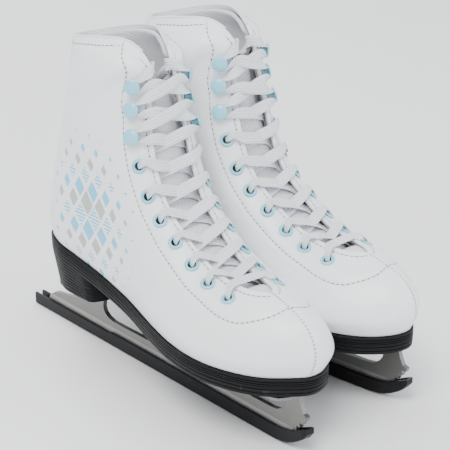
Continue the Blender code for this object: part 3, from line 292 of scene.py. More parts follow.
# ---------------------------------------------------------------- lace
def lace_frames():
    """The lace's whole route in the right skate's frame: (point, width direction, half width, half thickness)."""
    fr = []
    wide, thick = LACE_W / 2, LACE_T / 2

    def at(side, k):
        u, v = FASTENERS[k]
        return skin(side, u, v), skin_normal(side, u, v), u, v

    def along(side, u):
        d = skin(side, u + 0.2, 6) - skin(side, u - 0.2, 6)
        return d / np.linalg.norm(d)

    def climb(side, k):
        """From eyelet or hook k on `side`, up to fastener k+1 on the other side."""
        seq = []
        c, n, u, v = at(side, k)
        c2, n2, u2, v2 = at(-side, k + 1)
        um = u + (u2 - u) * 0.38
        edge1, ne1 = skin(side, um, 5.95), skin_normal(side, um, 5.85)
        um2 = u + (u2 - u) * 0.80
        edge2, ne2 = skin(-side, um2, 5.95), skin_normal(-side, um2, 5.85)
        t1 = along(side, um)
        mid = (edge1 + edge2) / 2
        nm = ne1 + ne2
        nm /= np.linalg.norm(nm)
        bump = 1.15 if side < 0 else -1.15
        over1 = k >= 7
        lift1 = 2.0 if over1 else -5.4
        if k < 7:
            toward = skin(side, u, 5.5) - c
            toward /= np.linalg.norm(toward)
            seq.append((c - n * 5.1 + toward * 1.3, None, 1.5, 0.5))
            q = skin(side, u + (um - u) * 0.55, 5.5)
            seq.append((q - skin_normal(side, u + (um - u) * 0.55, 5.5) * 5.3, t1, wide * 0.7, thick))
        seq.append((edge1 + ne1 * lift1, t1, wide, thick))
        zmid = (0.5 * (lift1 + 1.9)) + bump if not over1 else 1.9 + bump
        seq.append((mid + nm * zmid, t1, wide, thick))
        seq.append((edge2 + ne2 * 2.4, along(-side, um2), wide, thick))
        return seq

    def through(side, k):
        """Down the bore of eyelet k, from outside."""
        c, n, u, v = at(side, k)
        t = along(side, u)
        centre = skin(side, u, 5.55)
        toward = skin(side, u, 5.5) - c
        toward /= np.linalg.norm(toward)
        return [(centre + n * 3.8, t, LACE_W / 2 * 0.6, thick),
                (c + n * 2.5 + toward * 1.2, None, 1.4, 0.5),
                (c + n * 0.9, None, 1.3, 0.5), (c - n * 3.9, None, 1.3, 0.5)]

    def round_hook(side, k):
        """Round the stem of hook k on its outer side, on edge between base and cap."""
        c, n, u, v = at(side, k)
        t = along(side, u)
        t = t - n * np.dot(t, n)
        t /= np.linalg.norm(t)
        out = np.cross(n, t)
        away = skin(side, u, 4.6) - skin(side, u, 5.4)
        if np.dot(out, away) < 0:
            out = -out
        r = HOOK_STEM_R + 1.25
        seq = []
        for ang in (-75, 0, 75):
            g = math.radians(ang)
            seq.append((c + n * 2.95 + (out * math.cos(g) + t * math.sin(g)) * r, n, 1.1, 0.5))
        before = (c - out * 3.8 - t * 4.0 + n * 3.1, n + t * 0.7, 1.5, 0.5)
        after = (c - out * 3.8 + t * 4.0 + n * 3.1, n - t * 0.7, 1.5, 0.5)
        return [before] + seq + [after]

    def strand(side0):
        """One half of the lace from the bottom bar up to the tail, starting at eyelet 0 on side0."""
        seq = []
        side = side0
        seq += through(side, 0)
        for k in range(0, 9):
            seq += climb(side, k)
            side = -side
            if k + 1 < 7:
                seq += through(side, k + 1)
            else:
                seq += round_hook(side, k + 1)
        # tail: from the top hook over the facing's edge, then down into the shaft
        u, v = FASTENERS[9]
        t = along(side, u)
        e = skin(side, u + 0.25, 5.95)
        ne = skin_normal(side, u + 0.25, 5.85)
        seq.append((e + ne * 2.4, t, wide, thick))
        inward = np.array([-side * 1.0, 0.0, 0.0])
        s = side
        down = e - ne * 3.0 + np.array([-s * 3.2, 0, 1.5])
        seq.append((down, t, wide, thick))
        seq.append((np.array([s * 9.0, -1.5, 205.0]), (0, 0.2, -1), wide, thick))
        col = s * 9.5
        for z, y in ((199, 6.5), (190, 13.5), (180, 18.5), (168, 20.5), (150, 21.0), (132, 21.0)):
            seq.append((np.array([col, y, z]), (1, 0, 0), wide, thick))
        # the slack lies folded in the heel of the shaft
        z = 124.0
        y0, y1 = 22.0, 62.0
        for f in range(3):
            ya, yb = (y0, y1) if f % 2 == 0 else (y1, y0)
            zz = z - f * 5.0
            seq.append((np.array([col, ya + (yb - ya) * 0.12, zz]), (1, 0, 0), wide, thick))
            seq.append((np.array([col, ya + (yb - ya) * 0.5, zz - 0.4]), (1, 0, 0), wide, thick))
            seq.append((np.array([col, ya + (yb - ya) * 0.88, zz - 0.8]), (1, 0, 0), wide, thick))
            if f < 2:
                seq.append((np.array([col, yb + (2.0 if yb > ya else -2.0), zz - 2.9]), (1, 0, 0), wide, thick))
        return seq

    left = strand(-1)
    right = strand(1)
    u0, v0 = FASTENERS[0]
    bar = []
    for side, w in ((-1, 1.0), (-1, 0.45)):
        e = skin(side, u0, 5.95)
        n = skin_normal(side, u0, 5.85)
        bar.append((np.array([e[0] * (1.0 if w == 1.0 else 0.35), e[1], e[2] + (0.0 if w == 1.0 else 0.3)]) + n * 1.6, along(side, u0), wide, thick))
    barR = [(np.array([-p[0], p[1], p[2]]), np.array([-d[0], d[1], d[2]]), hw, ht) for p, d, hw, ht in bar]
    frames = list(reversed(left)) + bar + list(reversed(barR)) + right
    return frames


def smooth_path(frames, per_mm=16.0):
    """Catmull-Rom through the frames, resampled, with the width direction kept square to the run."""
    P = np.array([f[0] for f in frames])
    n = len(P)
    D = [None] * n
    for i, f in enumerate(frames):
        D[i] = None if f[1] is None else np.array(f[1], float)
    known = [i for i in range(n) if D[i] is not None]
    for i in range(n):
        if D[i] is None:
            a = max([k for k in known if k < i], default=known[0])
            b = min([k for k in known if k > i], default=known[-1])
            D[i] = D[a] * (b - i) + D[b] * (i - a) if b > a else D[a]
    for i in range(n):
        D[i] = D[i] / np.linalg.norm(D[i])
        if i and np.dot(D[i], D[i - 1]) < 0:
            D[i] = -D[i]
    HW = np.array([f[2] for f in frames])
    HT = np.array([f[3] for f in frames])
    out = []
    for i in range(n - 1):
        p0, p1, p2, p3 = P[max(i - 1, 0)], P[i], P[i + 1], P[min(i + 2, n - 1)]
        length = np.linalg.norm(p2 - p1)
        steps = max(1, int(round(length / per_mm)))
        l0 = max(np.linalg.norm(p1 - p0), 1e-6)
        l2 = max(np.linalg.norm(p3 - p2), 1e-6)
        m1 = ((p2 - p1) / length + (p1 - p0) / l0) * 0.5 * length if i else (p2 - p1)
        m2 = ((p3 - p2) / l2 + (p2 - p1) / length) * 0.5 * length if i < n - 2 else (p2 - p1)
        for s in range(steps):
            t = s / steps
            h = (2 * t ** 3 - 3 * t ** 2 + 1) * p1 + (t ** 3 - 2 * t ** 2 + t) * m1 + (-2 * t ** 3 + 3 * t ** 2) * p2 + (t ** 3 - t ** 2) * m2
            out.append((h, D[i] * (1 - t) + D[i + 1] * t, HW[i] * (1 - t) + HW[i + 1] * t, HT[i] * (1 - t) + HT[i + 1] * t))
    out.append((P[-1], D[-1], HW[-1], HT[-1]))
    return out



# ---------------------------------------------------------------- shapes on the skin, many points at once
def skin_grid(side, U, V):
    """Points of the boot's outer skin for every u in U and v in V: (len U, len V, 3)."""
    n = NET.shape[1]
    pos = np.asarray(U, float) if side < 0 else n - np.asarray(U, float)
    i = np.floor(pos).astype(int)
    t = (pos - i)[None, :, None]
    c = [NET[:, (i + k) % n] for k in (-1, 0, 1, 2)]
    cols = catmull(c[0], c[1], c[2], c[3], t).transpose(1, 0, 2)
    V = np.clip(np.asarray(V, float), 0.0, 6.0)
    j = np.minimum(V.astype(int), 5)
    s = (V - j)[None, :, None]
    ext = np.concatenate([2 * cols[:, :1] - cols[:, 1:2], cols, 2 * cols[:, -1:] - cols[:, -2:-1]], 1)
    return catmull(ext[:, j], ext[:, j + 1], ext[:, j + 2], ext[:, j + 3], s)


def grid_with_normals(side, U, V):
    U, V = np.asarray(U, float), np.asarray(V, float)
    P = skin_grid(side, U, V)
    du = skin_grid(side, U + 0.04, V) - skin_grid(side, U - 0.04, V)
    dv = skin_grid(side, U, np.minimum(V + 0.04, 6)) - skin_grid(side, U, np.maximum(V - 0.04, 0))
    N = np.cross(du, dv) * (1 if side < 0 else -1)
    N /= np.linalg.norm(N, axis=2)[:, :, None] + 1e-12
    ref = P.copy()
    ref[..., 0] = P[..., 0]
    ref[..., 1] = P[..., 1] - np.clip(P[..., 1], -120.0, 55.0)
    ref[..., 2] = P[..., 2] - np.where(P[..., 1] < -20, 70.0, P[..., 2])
    flip = (N * ref).sum(2) < 0
    N[flip] *= -1
    return P, N


def on_skin(side, uv):
    """Points and normals for a list of (u, v)."""
    P = np.array([skin(side, u, v) for u, v in uv])
    N = np.array([skin_normal(side, u, v) for u, v in uv])
    return P, N


def spread(uv, side, pitch):
    """The (u, v) polyline resampled evenly, pitch mm apart on the skin."""
    uv = np.array(uv, float)
    t = np.linspace(0, len(uv) - 1, (len(uv) - 1) * 14 + 1)
    fine = []
    for x in t:
        i = min(int(x), len(uv) - 2)
        f = x - i
        p0, p1, p2, p3 = uv[max(i - 1, 0)], uv[i], uv[i + 1], uv[min(i + 2, len(uv) - 1)]
        fine.append(catmull(p0, p1, p2, p3, f))
    fine = np.array(fine)
    fine[:, 1] = np.clip(fine[:, 1], 0, 6)
    fine[:, 0] = np.clip(fine[:, 0], 0, 15)
    P = np.array([skin(side, u, v) for u, v in fine])
    s = np.concatenate([[0], np.cumsum(np.linalg.norm(np.diff(P, axis=0), axis=1))])
    want = np.arange(pitch * 0.5, s[-1], pitch)
    return np.stack([np.interp(want, s, fine[:, 0]), np.interp(want, s, fine[:, 1])], 1)


# ---------------------------------------------------------------- mesh helpers
def make(name, pts, faces, skate, mats, body, face_mats=None, uv=None, smooth=True, fix=True, nodes=()):
    pts = place(pts, skate)
    faces = [tuple(f) for f in faces]
    if skate > 0:
        faces = [f[::-1] for f in faces]
    mesh = bpy.data.meshes.new(name)
    mesh.from_pydata([tuple(p) for p in pts], [], faces)
    for mt in mats:
        mesh.materials.append(mt)
    if face_mats is not None:
        mesh.polygons.foreach_set("material_index", list(face_mats))
    if uv is not None:
        layer = mesh.uv_layers.new(name="flat")
        idx = np.empty(len(mesh.loops), np.int32)
        mesh.loops.foreach_get("vertex_index", idx)
        layer.data.foreach_set("uv", np.asarray(uv, np.float32)[idx].ravel())
    if fix:
        bm = bmesh.new()
        bm.from_mesh(mesh)
        bmesh.ops.remove_doubles(bm, verts=bm.verts, dist=1e-7)
        bmesh.ops.recalc_face_normals(bm, faces=bm.faces)
        if bm.calc_volume(signed=True) < 0:
            bmesh.ops.reverse_faces(bm, faces=bm.faces)
        bm.to_mesh(mesh)
        bm.free()
    mesh.polygons.foreach_set("use_smooth", [bool(smooth)] * len(mesh.polygons))
    mesh.update()
    obj = bpy.data.objects.new(name, mesh)
    bpy.context.scene.collection.objects.link(obj)
    if body:
        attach(obj, body)
    if nodes:
        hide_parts(*nodes)
    return obj


def cut_holes(obj, pts, faces, skate):
    """Bores through obj, worked at a thousand times the size so that no small edge is lost."""
    cutter = make("cutter", pts, faces, skate, [], None)
    for o in (obj, cutter):
        o.data.transform(Matrix.Scale(1000.0, 4))
    mod = obj.modifiers.new("bores", "BOOLEAN")
    mod.operation, mod.solver, mod.object = "DIFFERENCE", "EXACT", cutter
    bpy.context.view_layer.update()
    mesh = bpy.data.meshes.new_from_object(obj.evaluated_get(bpy.context.evaluated_depsgraph_get()))
    obj.modifiers.clear()
    old = obj.data
    obj.data = mesh
    bpy.data.meshes.remove(old)
    bpy.data.objects.remove(cutter, do_unlink=True)
    obj.data.transform(Matrix.Scale(0.001, 4))
    obj.data.polygons.foreach_set("use_smooth", [True] * len(obj.data.polygons))


def shell(outer, inner, edges_rounded=()):
    """A closed slab from two grids (nu, nv, 3)."""
    nu, nv = outer.shape[:2]
    return np.concatenate([outer.reshape(-1, 3), inner.reshape(-1, 3)]), shell_faces(nu, nv)


def tube(path, radius, sides=8, closed_ends=True):
    """A round tube along a list of points in mm."""
    C = np.asarray(path, float)
    T = np.gradient(C, axis=0)
    T /= np.linalg.norm(T, axis=1)[:, None] + 1e-12
    d = np.cross(T[0], [0.3, 0.2, 0.9])
    pts, faces = [], []
    r = np.broadcast_to(radius, (len(C),))
    for c, t, rr in zip(C, T, r):
        d = d - t * np.dot(d, t)
        d /= np.linalg.norm(d) + 1e-12
        e = np.cross(t, d)
        for k in range(sides):
            a = 2 * math.pi * k / sides
            pts.append(c + (d * math.cos(a) + e * math.sin(a)) * rr)
    for i in range(len(C) - 1):
        for k in range(sides):
            k2 = (k + 1) % sides
            faces.append((i * sides + k, i * sides + k2, (i + 1) * sides + k2, (i + 1) * sides + k))
    faces.append(tuple(range(sides))[::-1])
    b = (len(C) - 1) * sides
    faces.append(tuple(b + k for k in range(sides)))
    return pts, faces


def thread(P, N, T, length, width, height):
    """One stitch lying along T on the surface point P."""
    side = np.cross(N, T)
    side /= np.linalg.norm(side) + 1e-12
    pts, faces = [], []
    n = 6
    prof = ((-0.5, 0.30, -0.25), (-0.36, 0.85, 0.45), (0.0, 1.0, 0.8), (0.36, 0.85, 0.45), (0.5, 0.30, -0.25))
    for along_t, w, h in prof:
        for k in range(n):
            a = 2 * math.pi * k / n
            pts.append(P + T * along_t * length + side * math.cos(a) * width * 0.5 * w + N * (h * height + math.sin(a) * height * 0.5 * w))
    for i in range(len(prof) - 1):
        for k in range(n):
            k2 = (k + 1) % n
            faces.append((i * n + k, i * n + k2, (i + 1) * n + k2, (i + 1) * n + k))
    faces.append(tuple(range(n))[::-1])
    b = (len(prof) - 1) * n
    faces.append(tuple(b + k for k in range(n)))
    return pts, faces


# A small dark disc for a needle hole: painted shadow where the thread goes into the leather.
def needle_hole(P, N, T, radius):
    side = np.cross(N, T)
    side /= np.linalg.norm(side) + 1e-12
    n = 7
    pts = [P + N * 0.05] + [P + N * 0.03 + (T * math.cos(2 * math.pi * k / n) + side * math.sin(2 * math.pi * k / n)) * radius
                            for k in range(n)]
    pts.append(P - N * 0.3)
    faces = [(0, 1 + k, 1 + (k + 1) % n) for k in range(n)] + [(n + 1, 1 + (k + 1) % n, 1 + k) for k in range(n)]
    return pts, faces


def lift_at(side, line):
    """The leather's own displacement at each (u, v), so that thread lies on it and not under it."""
    D = UPPER_CACHE[side][2]
    line = np.asarray(line)
    iu = np.clip(np.searchsorted(U_FINE, line[:, 0]) - 1, 0, len(U_FINE) - 2)
    iv = np.clip(np.searchsorted(V_FINE, line[:, 1]) - 1, 0, len(V_FINE) - 2)
    fu = np.clip((line[:, 0] - U_FINE[iu]) / (U_FINE[iu + 1] - U_FINE[iu]), 0, 1)
    fv = np.clip((line[:, 1] - V_FINE[iv]) / (V_FINE[iv + 1] - V_FINE[iv]), 0, 1)
    return (D[iu, iv] * (1 - fu) * (1 - fv) + D[iu + 1, iv] * fu * (1 - fv) + D[iu, iv + 1] * (1 - fu) * fv + D[iu + 1, iv + 1] * fu * fv)


def stitches(name, skate, body, runs, thread_mat, hole_shadow_mat, length=2.5, width=0.62, height=0.34, hole=0.5):
    """runs: list of (side, [(u, v)...], pitch, across, lift). One mesh of threads and their needle holes, the holes
    drawn as small dark discs of painted shadow.
    """
    pts, faces, which = [], [], []
    for side, uv, pitch, across, lift in runs:
        line = spread(uv, side, pitch)
        P, N = on_skin(side, line)
        T = np.gradient(P, axis=0)
        T /= np.linalg.norm(T, axis=1)[:, None] + 1e-12
        own = lift_at(side, line)
        for k, (p, n, t) in enumerate(zip(P, N, T)):
            base = p + n * ((own[k] if lift is None else lift) + 0.06)
            if across:
                t = np.cross(n, t)
                t /= np.linalg.norm(t) + 1e-12
                sp, sf = thread(base, n, t, across, width, height)
            else:
                sp, sf = thread(base, n, t, length, width, height)
            faces += [tuple(i + len(pts) for i in f) for f in sf]
            which += [0] * len(sf)
            pts += sp
            spots = [base + t * across * 0.5, base - t * across * 0.5] if across else [base + t * pitch * 0.5]
            for q in spots:
                sp, sf = needle_hole(q, n, t, hole)
                faces += [tuple(i + len(pts) for i in f) for f in sf]
                which += [1] * len(sf)
                pts += sp
    return make(name, pts, faces, skate, [thread_mat, hole_shadow_mat], body, face_mats=which, fix=False)


# ---------------------------------------------------------------- materials
class Nodes:
    """Short calls to build a material's nodes."""

    def __init__(self, name, color=(0.8, 0.8, 0.8), rough=0.5, metal=0.0, **sockets):
        self.mat = bpy.data.materials.new(name)
        self.mat.use_nodes = True
        self.t = self.mat.node_tree
        self.b = self.t.nodes["Principled BSDF"]
        self.b.inputs["Base Color"].default_value = (*color, 1)
        self.b.inputs["Roughness"].default_value = rough
        self.b.inputs["Metallic"].default_value = metal
        for k, v in sockets.items():
            self.b.inputs[k.replace("_", " ")].default_value = v
        self.mat.diffuse_color = (*color, 1)
        self.coord = self.t.nodes.new("ShaderNodeTexCoord")

    def put(self, value, socket):
        if isinstance(value, bpy.types.NodeSocket):
            self.t.links.new(value, socket)
        elif value is not None:
            socket.default_value = value

    def math(self, op, a, b=None, c=None, clamp=False):
        n = self.t.nodes.new("ShaderNodeMath")
        n.operation = op
        n.use_clamp = clamp
        self.put(a, n.inputs[0])
        self.put(b, n.inputs[1])
        self.put(c, n.inputs[2])
        return n.outputs[0]

    def vec(self, op, a, b=None, scale=None):
        n = self.t.nodes.new("ShaderNodeVectorMath")
        n.operation = op
        self.put(a, n.inputs[0])
        self.put(b, n.inputs[1])
        if scale is not None:
            self.put(scale, n.inputs["Scale"])
        return n.outputs["Value"] if op in ("DOT_PRODUCT", "LENGTH", "DISTANCE") else n.outputs["Vector"]

    def noise(self, vector, scale, detail=3.0, rough=0.5):
        n = self.t.nodes.new("ShaderNodeTexNoise")
        self.put(vector, n.inputs["Vector"])
        n.inputs["Scale"].default_value = scale
        n.inputs["Detail"].default_value = detail
        n.inputs["Roughness"].default_value = rough
        return n.outputs["Fac"]

    def cells(self, vector, scale, feature="F1"):
        n = self.t.nodes.new("ShaderNodeTexVoronoi")
        n.feature = feature
        self.put(vector, n.inputs["Vector"])
        n.inputs["Scale"].default_value = scale
        return n.outputs["Distance"]

    def split(self, v):
        n = self.t.nodes.new("ShaderNodeSeparateXYZ")
        self.put(v, n.inputs[0])
        return n.outputs

    def mix(self, fac, a, b):
        n = self.t.nodes.new("ShaderNodeMix")
        n.data_type = "RGBA"
        self.put(fac, n.inputs[0])
        for value, socket in ((a, n.inputs[6]), (b, n.inputs[7])):
            self.put(value if isinstance(value, bpy.types.NodeSocket) else (*value, 1), socket)
        return n.outputs[2]

    def bump(self, height, strength, distance, after=None):
        n = self.t.nodes.new("ShaderNodeBump")
        n.inputs["Strength"].default_value = strength
        n.inputs["Distance"].default_value = distance
        self.put(height, n.inputs["Height"])
        if after is not None:
            self.put(after, n.inputs["Normal"])
        return n.outputs["Normal"]

    def color(self, c):
        self.put(c if isinstance(c, bpy.types.NodeSocket) else (*c, 1), self.b.inputs["Base Color"])

    def rough(self, r):
        self.put(r, self.b.inputs["Roughness"])

    def normal(self, n):
        self.put(n, self.b.inputs["Normal"])

    @property
    def obj(self):
        return self.coord.outputs["Object"]

    @property
    def uv(self):
        if not hasattr(self, "_uv"):
            n = self.t.nodes.new("ShaderNodeUVMap")
            n.uv_map = "flat"
            self._uv = n.outputs["UV"]
        return self._uv


WHITE = (0.88, 0.89, 0.905)
CYAN = (0.045, 0.50, 0.78)
PRINT_GREY = (0.36, 0.365, 0.355)


def leather_finish(n, base):
    """Coated leather: fine pebble grain, faint mottling and scuffs."""
    cloud = n.noise(n.obj, 26.0, 3.0)
    fine = n.noise(n.obj, 420.0, 2.0)
    tint = n.math("MULTIPLY_ADD", cloud, 0.06, n.math("MULTIPLY", fine, 0.03))
    shaded = n.mix(tint, base, (0.70, 0.71, 0.73))
    scuff = n.math("GREATER_THAN", n.noise(n.vec("MULTIPLY", n.obj, (60.0, 9.0, 60.0)), 3.4, 4.0, 0.7), 0.745)
    n.color(n.mix(n.math("MULTIPLY", scuff, 0.25), shaded, (0.60, 0.60, 0.61)))
    grain = n.cells(n.obj, 1050.0, "SMOOTH_F1")
    crease = n.noise(n.obj, 300.0, 4.0, 0.6)
    soft = n.noise(n.obj, 40.0, 2.0)
    n1 = n.bump(grain, 0.22, 0.00025)
    n2 = n.bump(crease, 0.20, 0.0004, n1)
    n.normal(n.bump(soft, 0.25, 0.0012, n2))
    n.rough(n.math("MULTIPLY_ADD", cloud, 0.16, 0.30))


def leather(name):
    n = Nodes(name, WHITE, 0.4, Coat_Weight=0.12, Coat_Roughness=0.35)
    leather_finish(n, WHITE)
    return n.mat


def printed_leather(name):
    """A plain regular lattice of diamonds over the rear quarter, shrinking away at its edges: filled, striped and grey in turn."""
    n = Nodes(name, WHITE, 0.4, Coat_Weight=0.12, Coat_Roughness=0.35)
    y, z, _ = n.split(n.vec("MULTIPLY", n.uv, (100.0, 100.0, 0.0)))
    a = n.math("MULTIPLY_ADD", y, 1 / 15.0, n.math("MULTIPLY", z, 1 / 19.0))
    b = n.math("SUBTRACT", n.math("MULTIPLY", y, 1 / 15.0), n.math("MULTIPLY", z, 1 / 19.0))
    b = n.math("ADD", b, 40.0)
    ia, ib = n.math("FLOOR", a), n.math("FLOOR", b)
    fa = n.math("ABSOLUTE", n.math("SUBTRACT", n.math("SUBTRACT", a, ia), 0.5))
    fb = n.math("ABSOLUTE", n.math("SUBTRACT", n.math("SUBTRACT", b, ib), 0.5))
    # the size of each diamond comes from how far its own centre lies from the middle of the print
    ca, cb = n.math("ADD", ia, 0.5), n.math("ADD", n.math("SUBTRACT", ib, 40.0), 0.5)
    cy = n.math("MULTIPLY", n.math("ADD", ca, cb), 7.5)
    cz = n.math("MULTIPLY", n.math("SUBTRACT", ca, cb), 9.5)
    dy = n.math("MULTIPLY", n.math("SUBTRACT", cy, 34.0), 1 / 50.0)
    dz = n.math("MULTIPLY", n.math("SUBTRACT", cz, 108.0), 1 / 58.0)
    away = n.math("SQRT", n.math("MULTIPLY_ADD", dy, dy, n.math("MULTIPLY", dz, dz)))
    size = n.math("MULTIPLY", n.math("SUBTRACT", 1.15, away, clamp=True), 0.46)
    inside = n.math("LESS_THAN", n.math("MAXIMUM", fa, fb), size)
    turn = n.math("MODULO", n.math("MULTIPLY_ADD", ib, 2.0, ia), 3.0)
    grey = n.math("GREATER_THAN", turn, 1.5)
    striped = n.math("MULTIPLY", n.math("GREATER_THAN", turn, 0.5), n.math("LESS_THAN", turn, 1.5))
    bars = n.math("GREATER_THAN", n.math("SINE", n.math("MULTIPLY", z, 2.6)), -0.2)
    amount = n.math("MULTIPLY_ADD", n.noise(n.obj, 320.0), 0.1, 0.85)
    amount = n.math("MULTIPLY", amount, n.math("MAXIMUM", bars, n.math("SUBTRACT", 1.0, striped)))
    ink = n.mix(grey, CYAN, PRINT_GREY)
    base = n.mix(n.math("MULTIPLY", inside, amount), WHITE, ink)
    leather_finish(n, base)
    return n.mat


def weave(name, color, dark, scale, rough=0.85, strength=0.5, fuzz=0.3):
    """Plain woven cloth with a soft nap."""
    n = Nodes(name, color, rough, Sheen_Weight=fuzz, Sheen_Roughness=0.5)
    x, y, z = n.split(n.vec("MULTIPLY", n.obj, (scale, scale, scale)))
    w1 = n.math("SINE", n.math("ADD", x, y))
    w2 = n.math("SINE", n.math("ADD", z, n.math("MULTIPLY", y, 0.6)))
    cloth = n.math("MULTIPLY", w1, w2)
    nap = n.noise(n.obj, 900.0, 3.0)
    n.color(n.mix(n.math("MULTIPLY_ADD", n.noise(n.obj, 35.0), 0.5, n.math("MULTIPLY", nap, 0.35)), color, dark))
    n.normal(n.bump(nap, 0.35, 0.0004, n.bump(cloth, strength, 0.0003)))
    n.rough(n.math("MULTIPLY_ADD", nap, 0.1, rough - 0.05))
    return n.mat


def lace_cloth(name):
    """Flat tubular braid: slanting ribs that meet in a herringbone down the middle, with ribbed edges; the grooves
    between the ribs carry painted shade.
    """
    n = Nodes(name, (0.86, 0.875, 0.90), 0.8, Sheen_Weight=0.4, Sheen_Roughness=0.4)
    u, v, _ = n.split(n.vec("MULTIPLY", n.uv, (1000.0, 1000.0, 0.0)))
    arm = n.math("ABSOLUTE", v)
    rib = n.math("SINE", n.math("MULTIPLY", n.math("ADD", u, n.math("MULTIPLY", arm, 1.2)), 5.2))
    cross = n.math("SINE", n.math("MULTIPLY", n.math("SUBTRACT", n.math("MULTIPLY", u, 0.5), v), 5.6))
    ridge = n.math("SINE", n.math("MULTIPLY_ADD", v, 3.6, 1.57))
    h = n.math("ADD", n.math("MULTIPLY", ridge, 0.9), n.math("ADD", n.math("MULTIPLY", rib, 0.45), n.math("MULTIPLY", cross, 0.3)))
    # painted shade: the colour darkens toward grey-blue where the rib height is low, in the grooves between the ribs
    painted_groove_shade = n.math("MULTIPLY_ADD", h, -0.11, 0.13, clamp=True)
    fuzz = n.noise(n.obj, 1500.0, 2.0)
    n.color(n.mix(n.math("ADD", painted_groove_shade, n.math("MULTIPLY", fuzz, 0.12)), (0.90, 0.92, 0.95), (0.55, 0.60, 0.70)))
    n.normal(n.bump(fuzz, 0.3, 0.0003, n.bump(h, 0.7, 0.0004)))
    return n.mat


def enamel(name):
    n = Nodes(name, (0.38, 0.66, 0.78), 0.3, 0.0, Coat_Weight=0.6, Coat_Roughness=0.12)
    g = n.t.nodes.new("ShaderNodeNewGeometry")
    worn = n.math("MULTIPLY", n.math("GREATER_THAN", g.outputs["Pointiness"], 0.56), n.math("GREATER_THAN", n.noise(n.obj, 500.0, 3.0), 0.56))
    n.color(n.mix(worn, n.mix(n.noise(n.obj, 220.0), (0.20, 0.57, 0.71), (0.28, 0.64, 0.76)), (0.55, 0.56, 0.56)))
    n.normal(n.bump(n.noise(n.obj, 700.0, 2.0), 0.15, 0.0002))
    n.rough(n.math("MULTIPLY_ADD", n.noise(n.obj, 300.0), 0.2, 0.22))
    return n.mat


def steel(name, color, rough, bright=True):
    """Ground steel: fine scratches along the blade, a brighter polished band at the running edge."""
    n = Nodes(name, color, rough, 1.0)
    lines = n.noise(n.vec("MULTIPLY", n.obj, (900.0, 30.0, 1600.0)), 1.0, 3.0, 0.6)
    cloud = n.noise(n.obj, 45.0, 2.0)
    _, _, z = n.split(n.obj)
    c = n.mix(n.math("MULTIPLY_ADD", cloud, 0.5, n.math("MULTIPLY", lines, 0.4)), color, tuple(x * 0.66 for x in color))
    if bright:
        band = n.math("LESS_THAN", z, 0.0128)
        c = n.mix(n.math("MULTIPLY", band, 0.5), c, (0.5, 0.5, 0.49))
    n.color(c)
    n.normal(n.bump(lines, 0.12, 0.0003))
    n.rough(n.math("MULTIPLY_ADD", lines, 0.22, rough - 0.08))
    return n.mat


def black_stack(name, streak=True):
    """Black painted sole edge: faint streaks round the layers, dull rubbed spots."""
    n = Nodes(name, (0.008, 0.008, 0.009), 0.5, Specular_IOR_Level=0.12)
    layers = n.noise(n.vec("MULTIPLY", n.obj, (18.0, 18.0, 900.0)), 1.0, 3.0)
    dust = n.noise(n.obj, 160.0, 4.0, 0.65)
    n.color(n.mix(n.math("MULTIPLY", n.math("GREATER_THAN", dust, 0.66), 0.35), n.mix(layers, (0.004, 0.004, 0.005), (0.012, 0.012, 0.013)), (0.05, 0.05, 0.05)))
    n.normal(n.bump(dust, 0.25, 0.0004, n.bump(layers, 0.4, 0.0004)))
    n.rough(n.math("MULTIPLY_ADD", dust, 0.3, 0.32))
    return n.mat


def moulded(name):
    """Moulded black plastic: fine spark texture, scuffed corners."""
    n = Nodes(name, (0.008, 0.008, 0.009), 0.45, Specular_IOR_Level=0.15)
    spark = n.noise(n.obj, 1300.0, 2.0)
    scuff = n.noise(n.vec("MULTIPLY", n.obj, (90.0, 14.0, 90.0)), 1.3, 4.0, 0.7)
    n.color(n.mix(n.math("MULTIPLY", n.math("GREATER_THAN", scuff, 0.66), 0.3), n.mix(spark, (0.005, 0.005, 0.006), (0.012, 0.012, 0.013)), (0.05, 0.05, 0.052)))
    n.normal(n.bump(spark, 0.2, 0.0003))
    n.rough(n.math("MULTIPLY_ADD", scuff, 0.25, 0.26))
    return n.mat


def simple(name, color, rough, scale, depth=0.0003, spread_=0.25):
    n = Nodes(name, color, rough)
    f = n.noise(n.obj, scale, 3.0)
    n.color(n.mix(n.math("MULTIPLY", f, spread_ * 2), color, tuple(x * 0.7 for x in color)))
    n.normal(n.bump(f, 0.4, depth))
    n.rough(n.math("MULTIPLY_ADD", f, 0.15, rough - 0.07))
    return n.mat


M = {
    "upper": leather("upper_white_leather"),
    "print": printed_leather("upper_printed_leather"),
    "edge": simple("cut_edge_white", (0.76, 0.77, 0.79), 0.6, 500.0),
    "piping": simple("piping_white", (0.80, 0.81, 0.83), 0.45, 300.0),
    "thread": simple("white_thread", (0.70, 0.70, 0.69), 0.7, 2500.0),
    # near-black discs at the needle holes: painted shadow
    "hole": simple("needle_hole_shadow", (0.035, 0.035, 0.04), 0.9, 900.0),
    "seam_thread": simple("seam_thread", (0.60, 0.55, 0.43), 0.7, 2500.0),
    "lining": weave("lining_brushed", (0.72, 0.73, 0.75), (0.55, 0.56, 0.59), 2600.0),
    "tongue": weave("tongue_textile", (0.80, 0.81, 0.83), (0.64, 0.66, 0.69), 2300.0),
    "footbed": weave("footbed_cover", (0.50, 0.51, 0.54), (0.36, 0.37, 0.40), 1900.0),
    "strip": weave("reinforcing_tape", (0.55, 0.56, 0.58), (0.4, 0.4, 0.43), 2600.0),
    "lace": lace_cloth("lace_braid"),
    "enamel": enamel("enamel_light_blue"),
    "rivet": steel("rivet_back", (0.30, 0.30, 0.31), 0.4, False),
    "sole": black_stack("sole_edge_black"),
    "blade": steel("blade_steel", (0.27, 0.27, 0.255), 0.44),
    "plate": steel("plate_steel", (0.26, 0.26, 0.25), 0.45, False),
    "screw": steel("screw_steel_bright", (0.6, 0.6, 0.6), 0.3, False),
    "guard": moulded("guard_moulded_black"),
    "board": simple("pressed_board", (0.50, 0.40, 0.28), 0.85, 260.0, 0.0006),
    "aglet": simple("aglet_clear", (0.75, 0.76, 0.78), 0.25, 400.0),
}

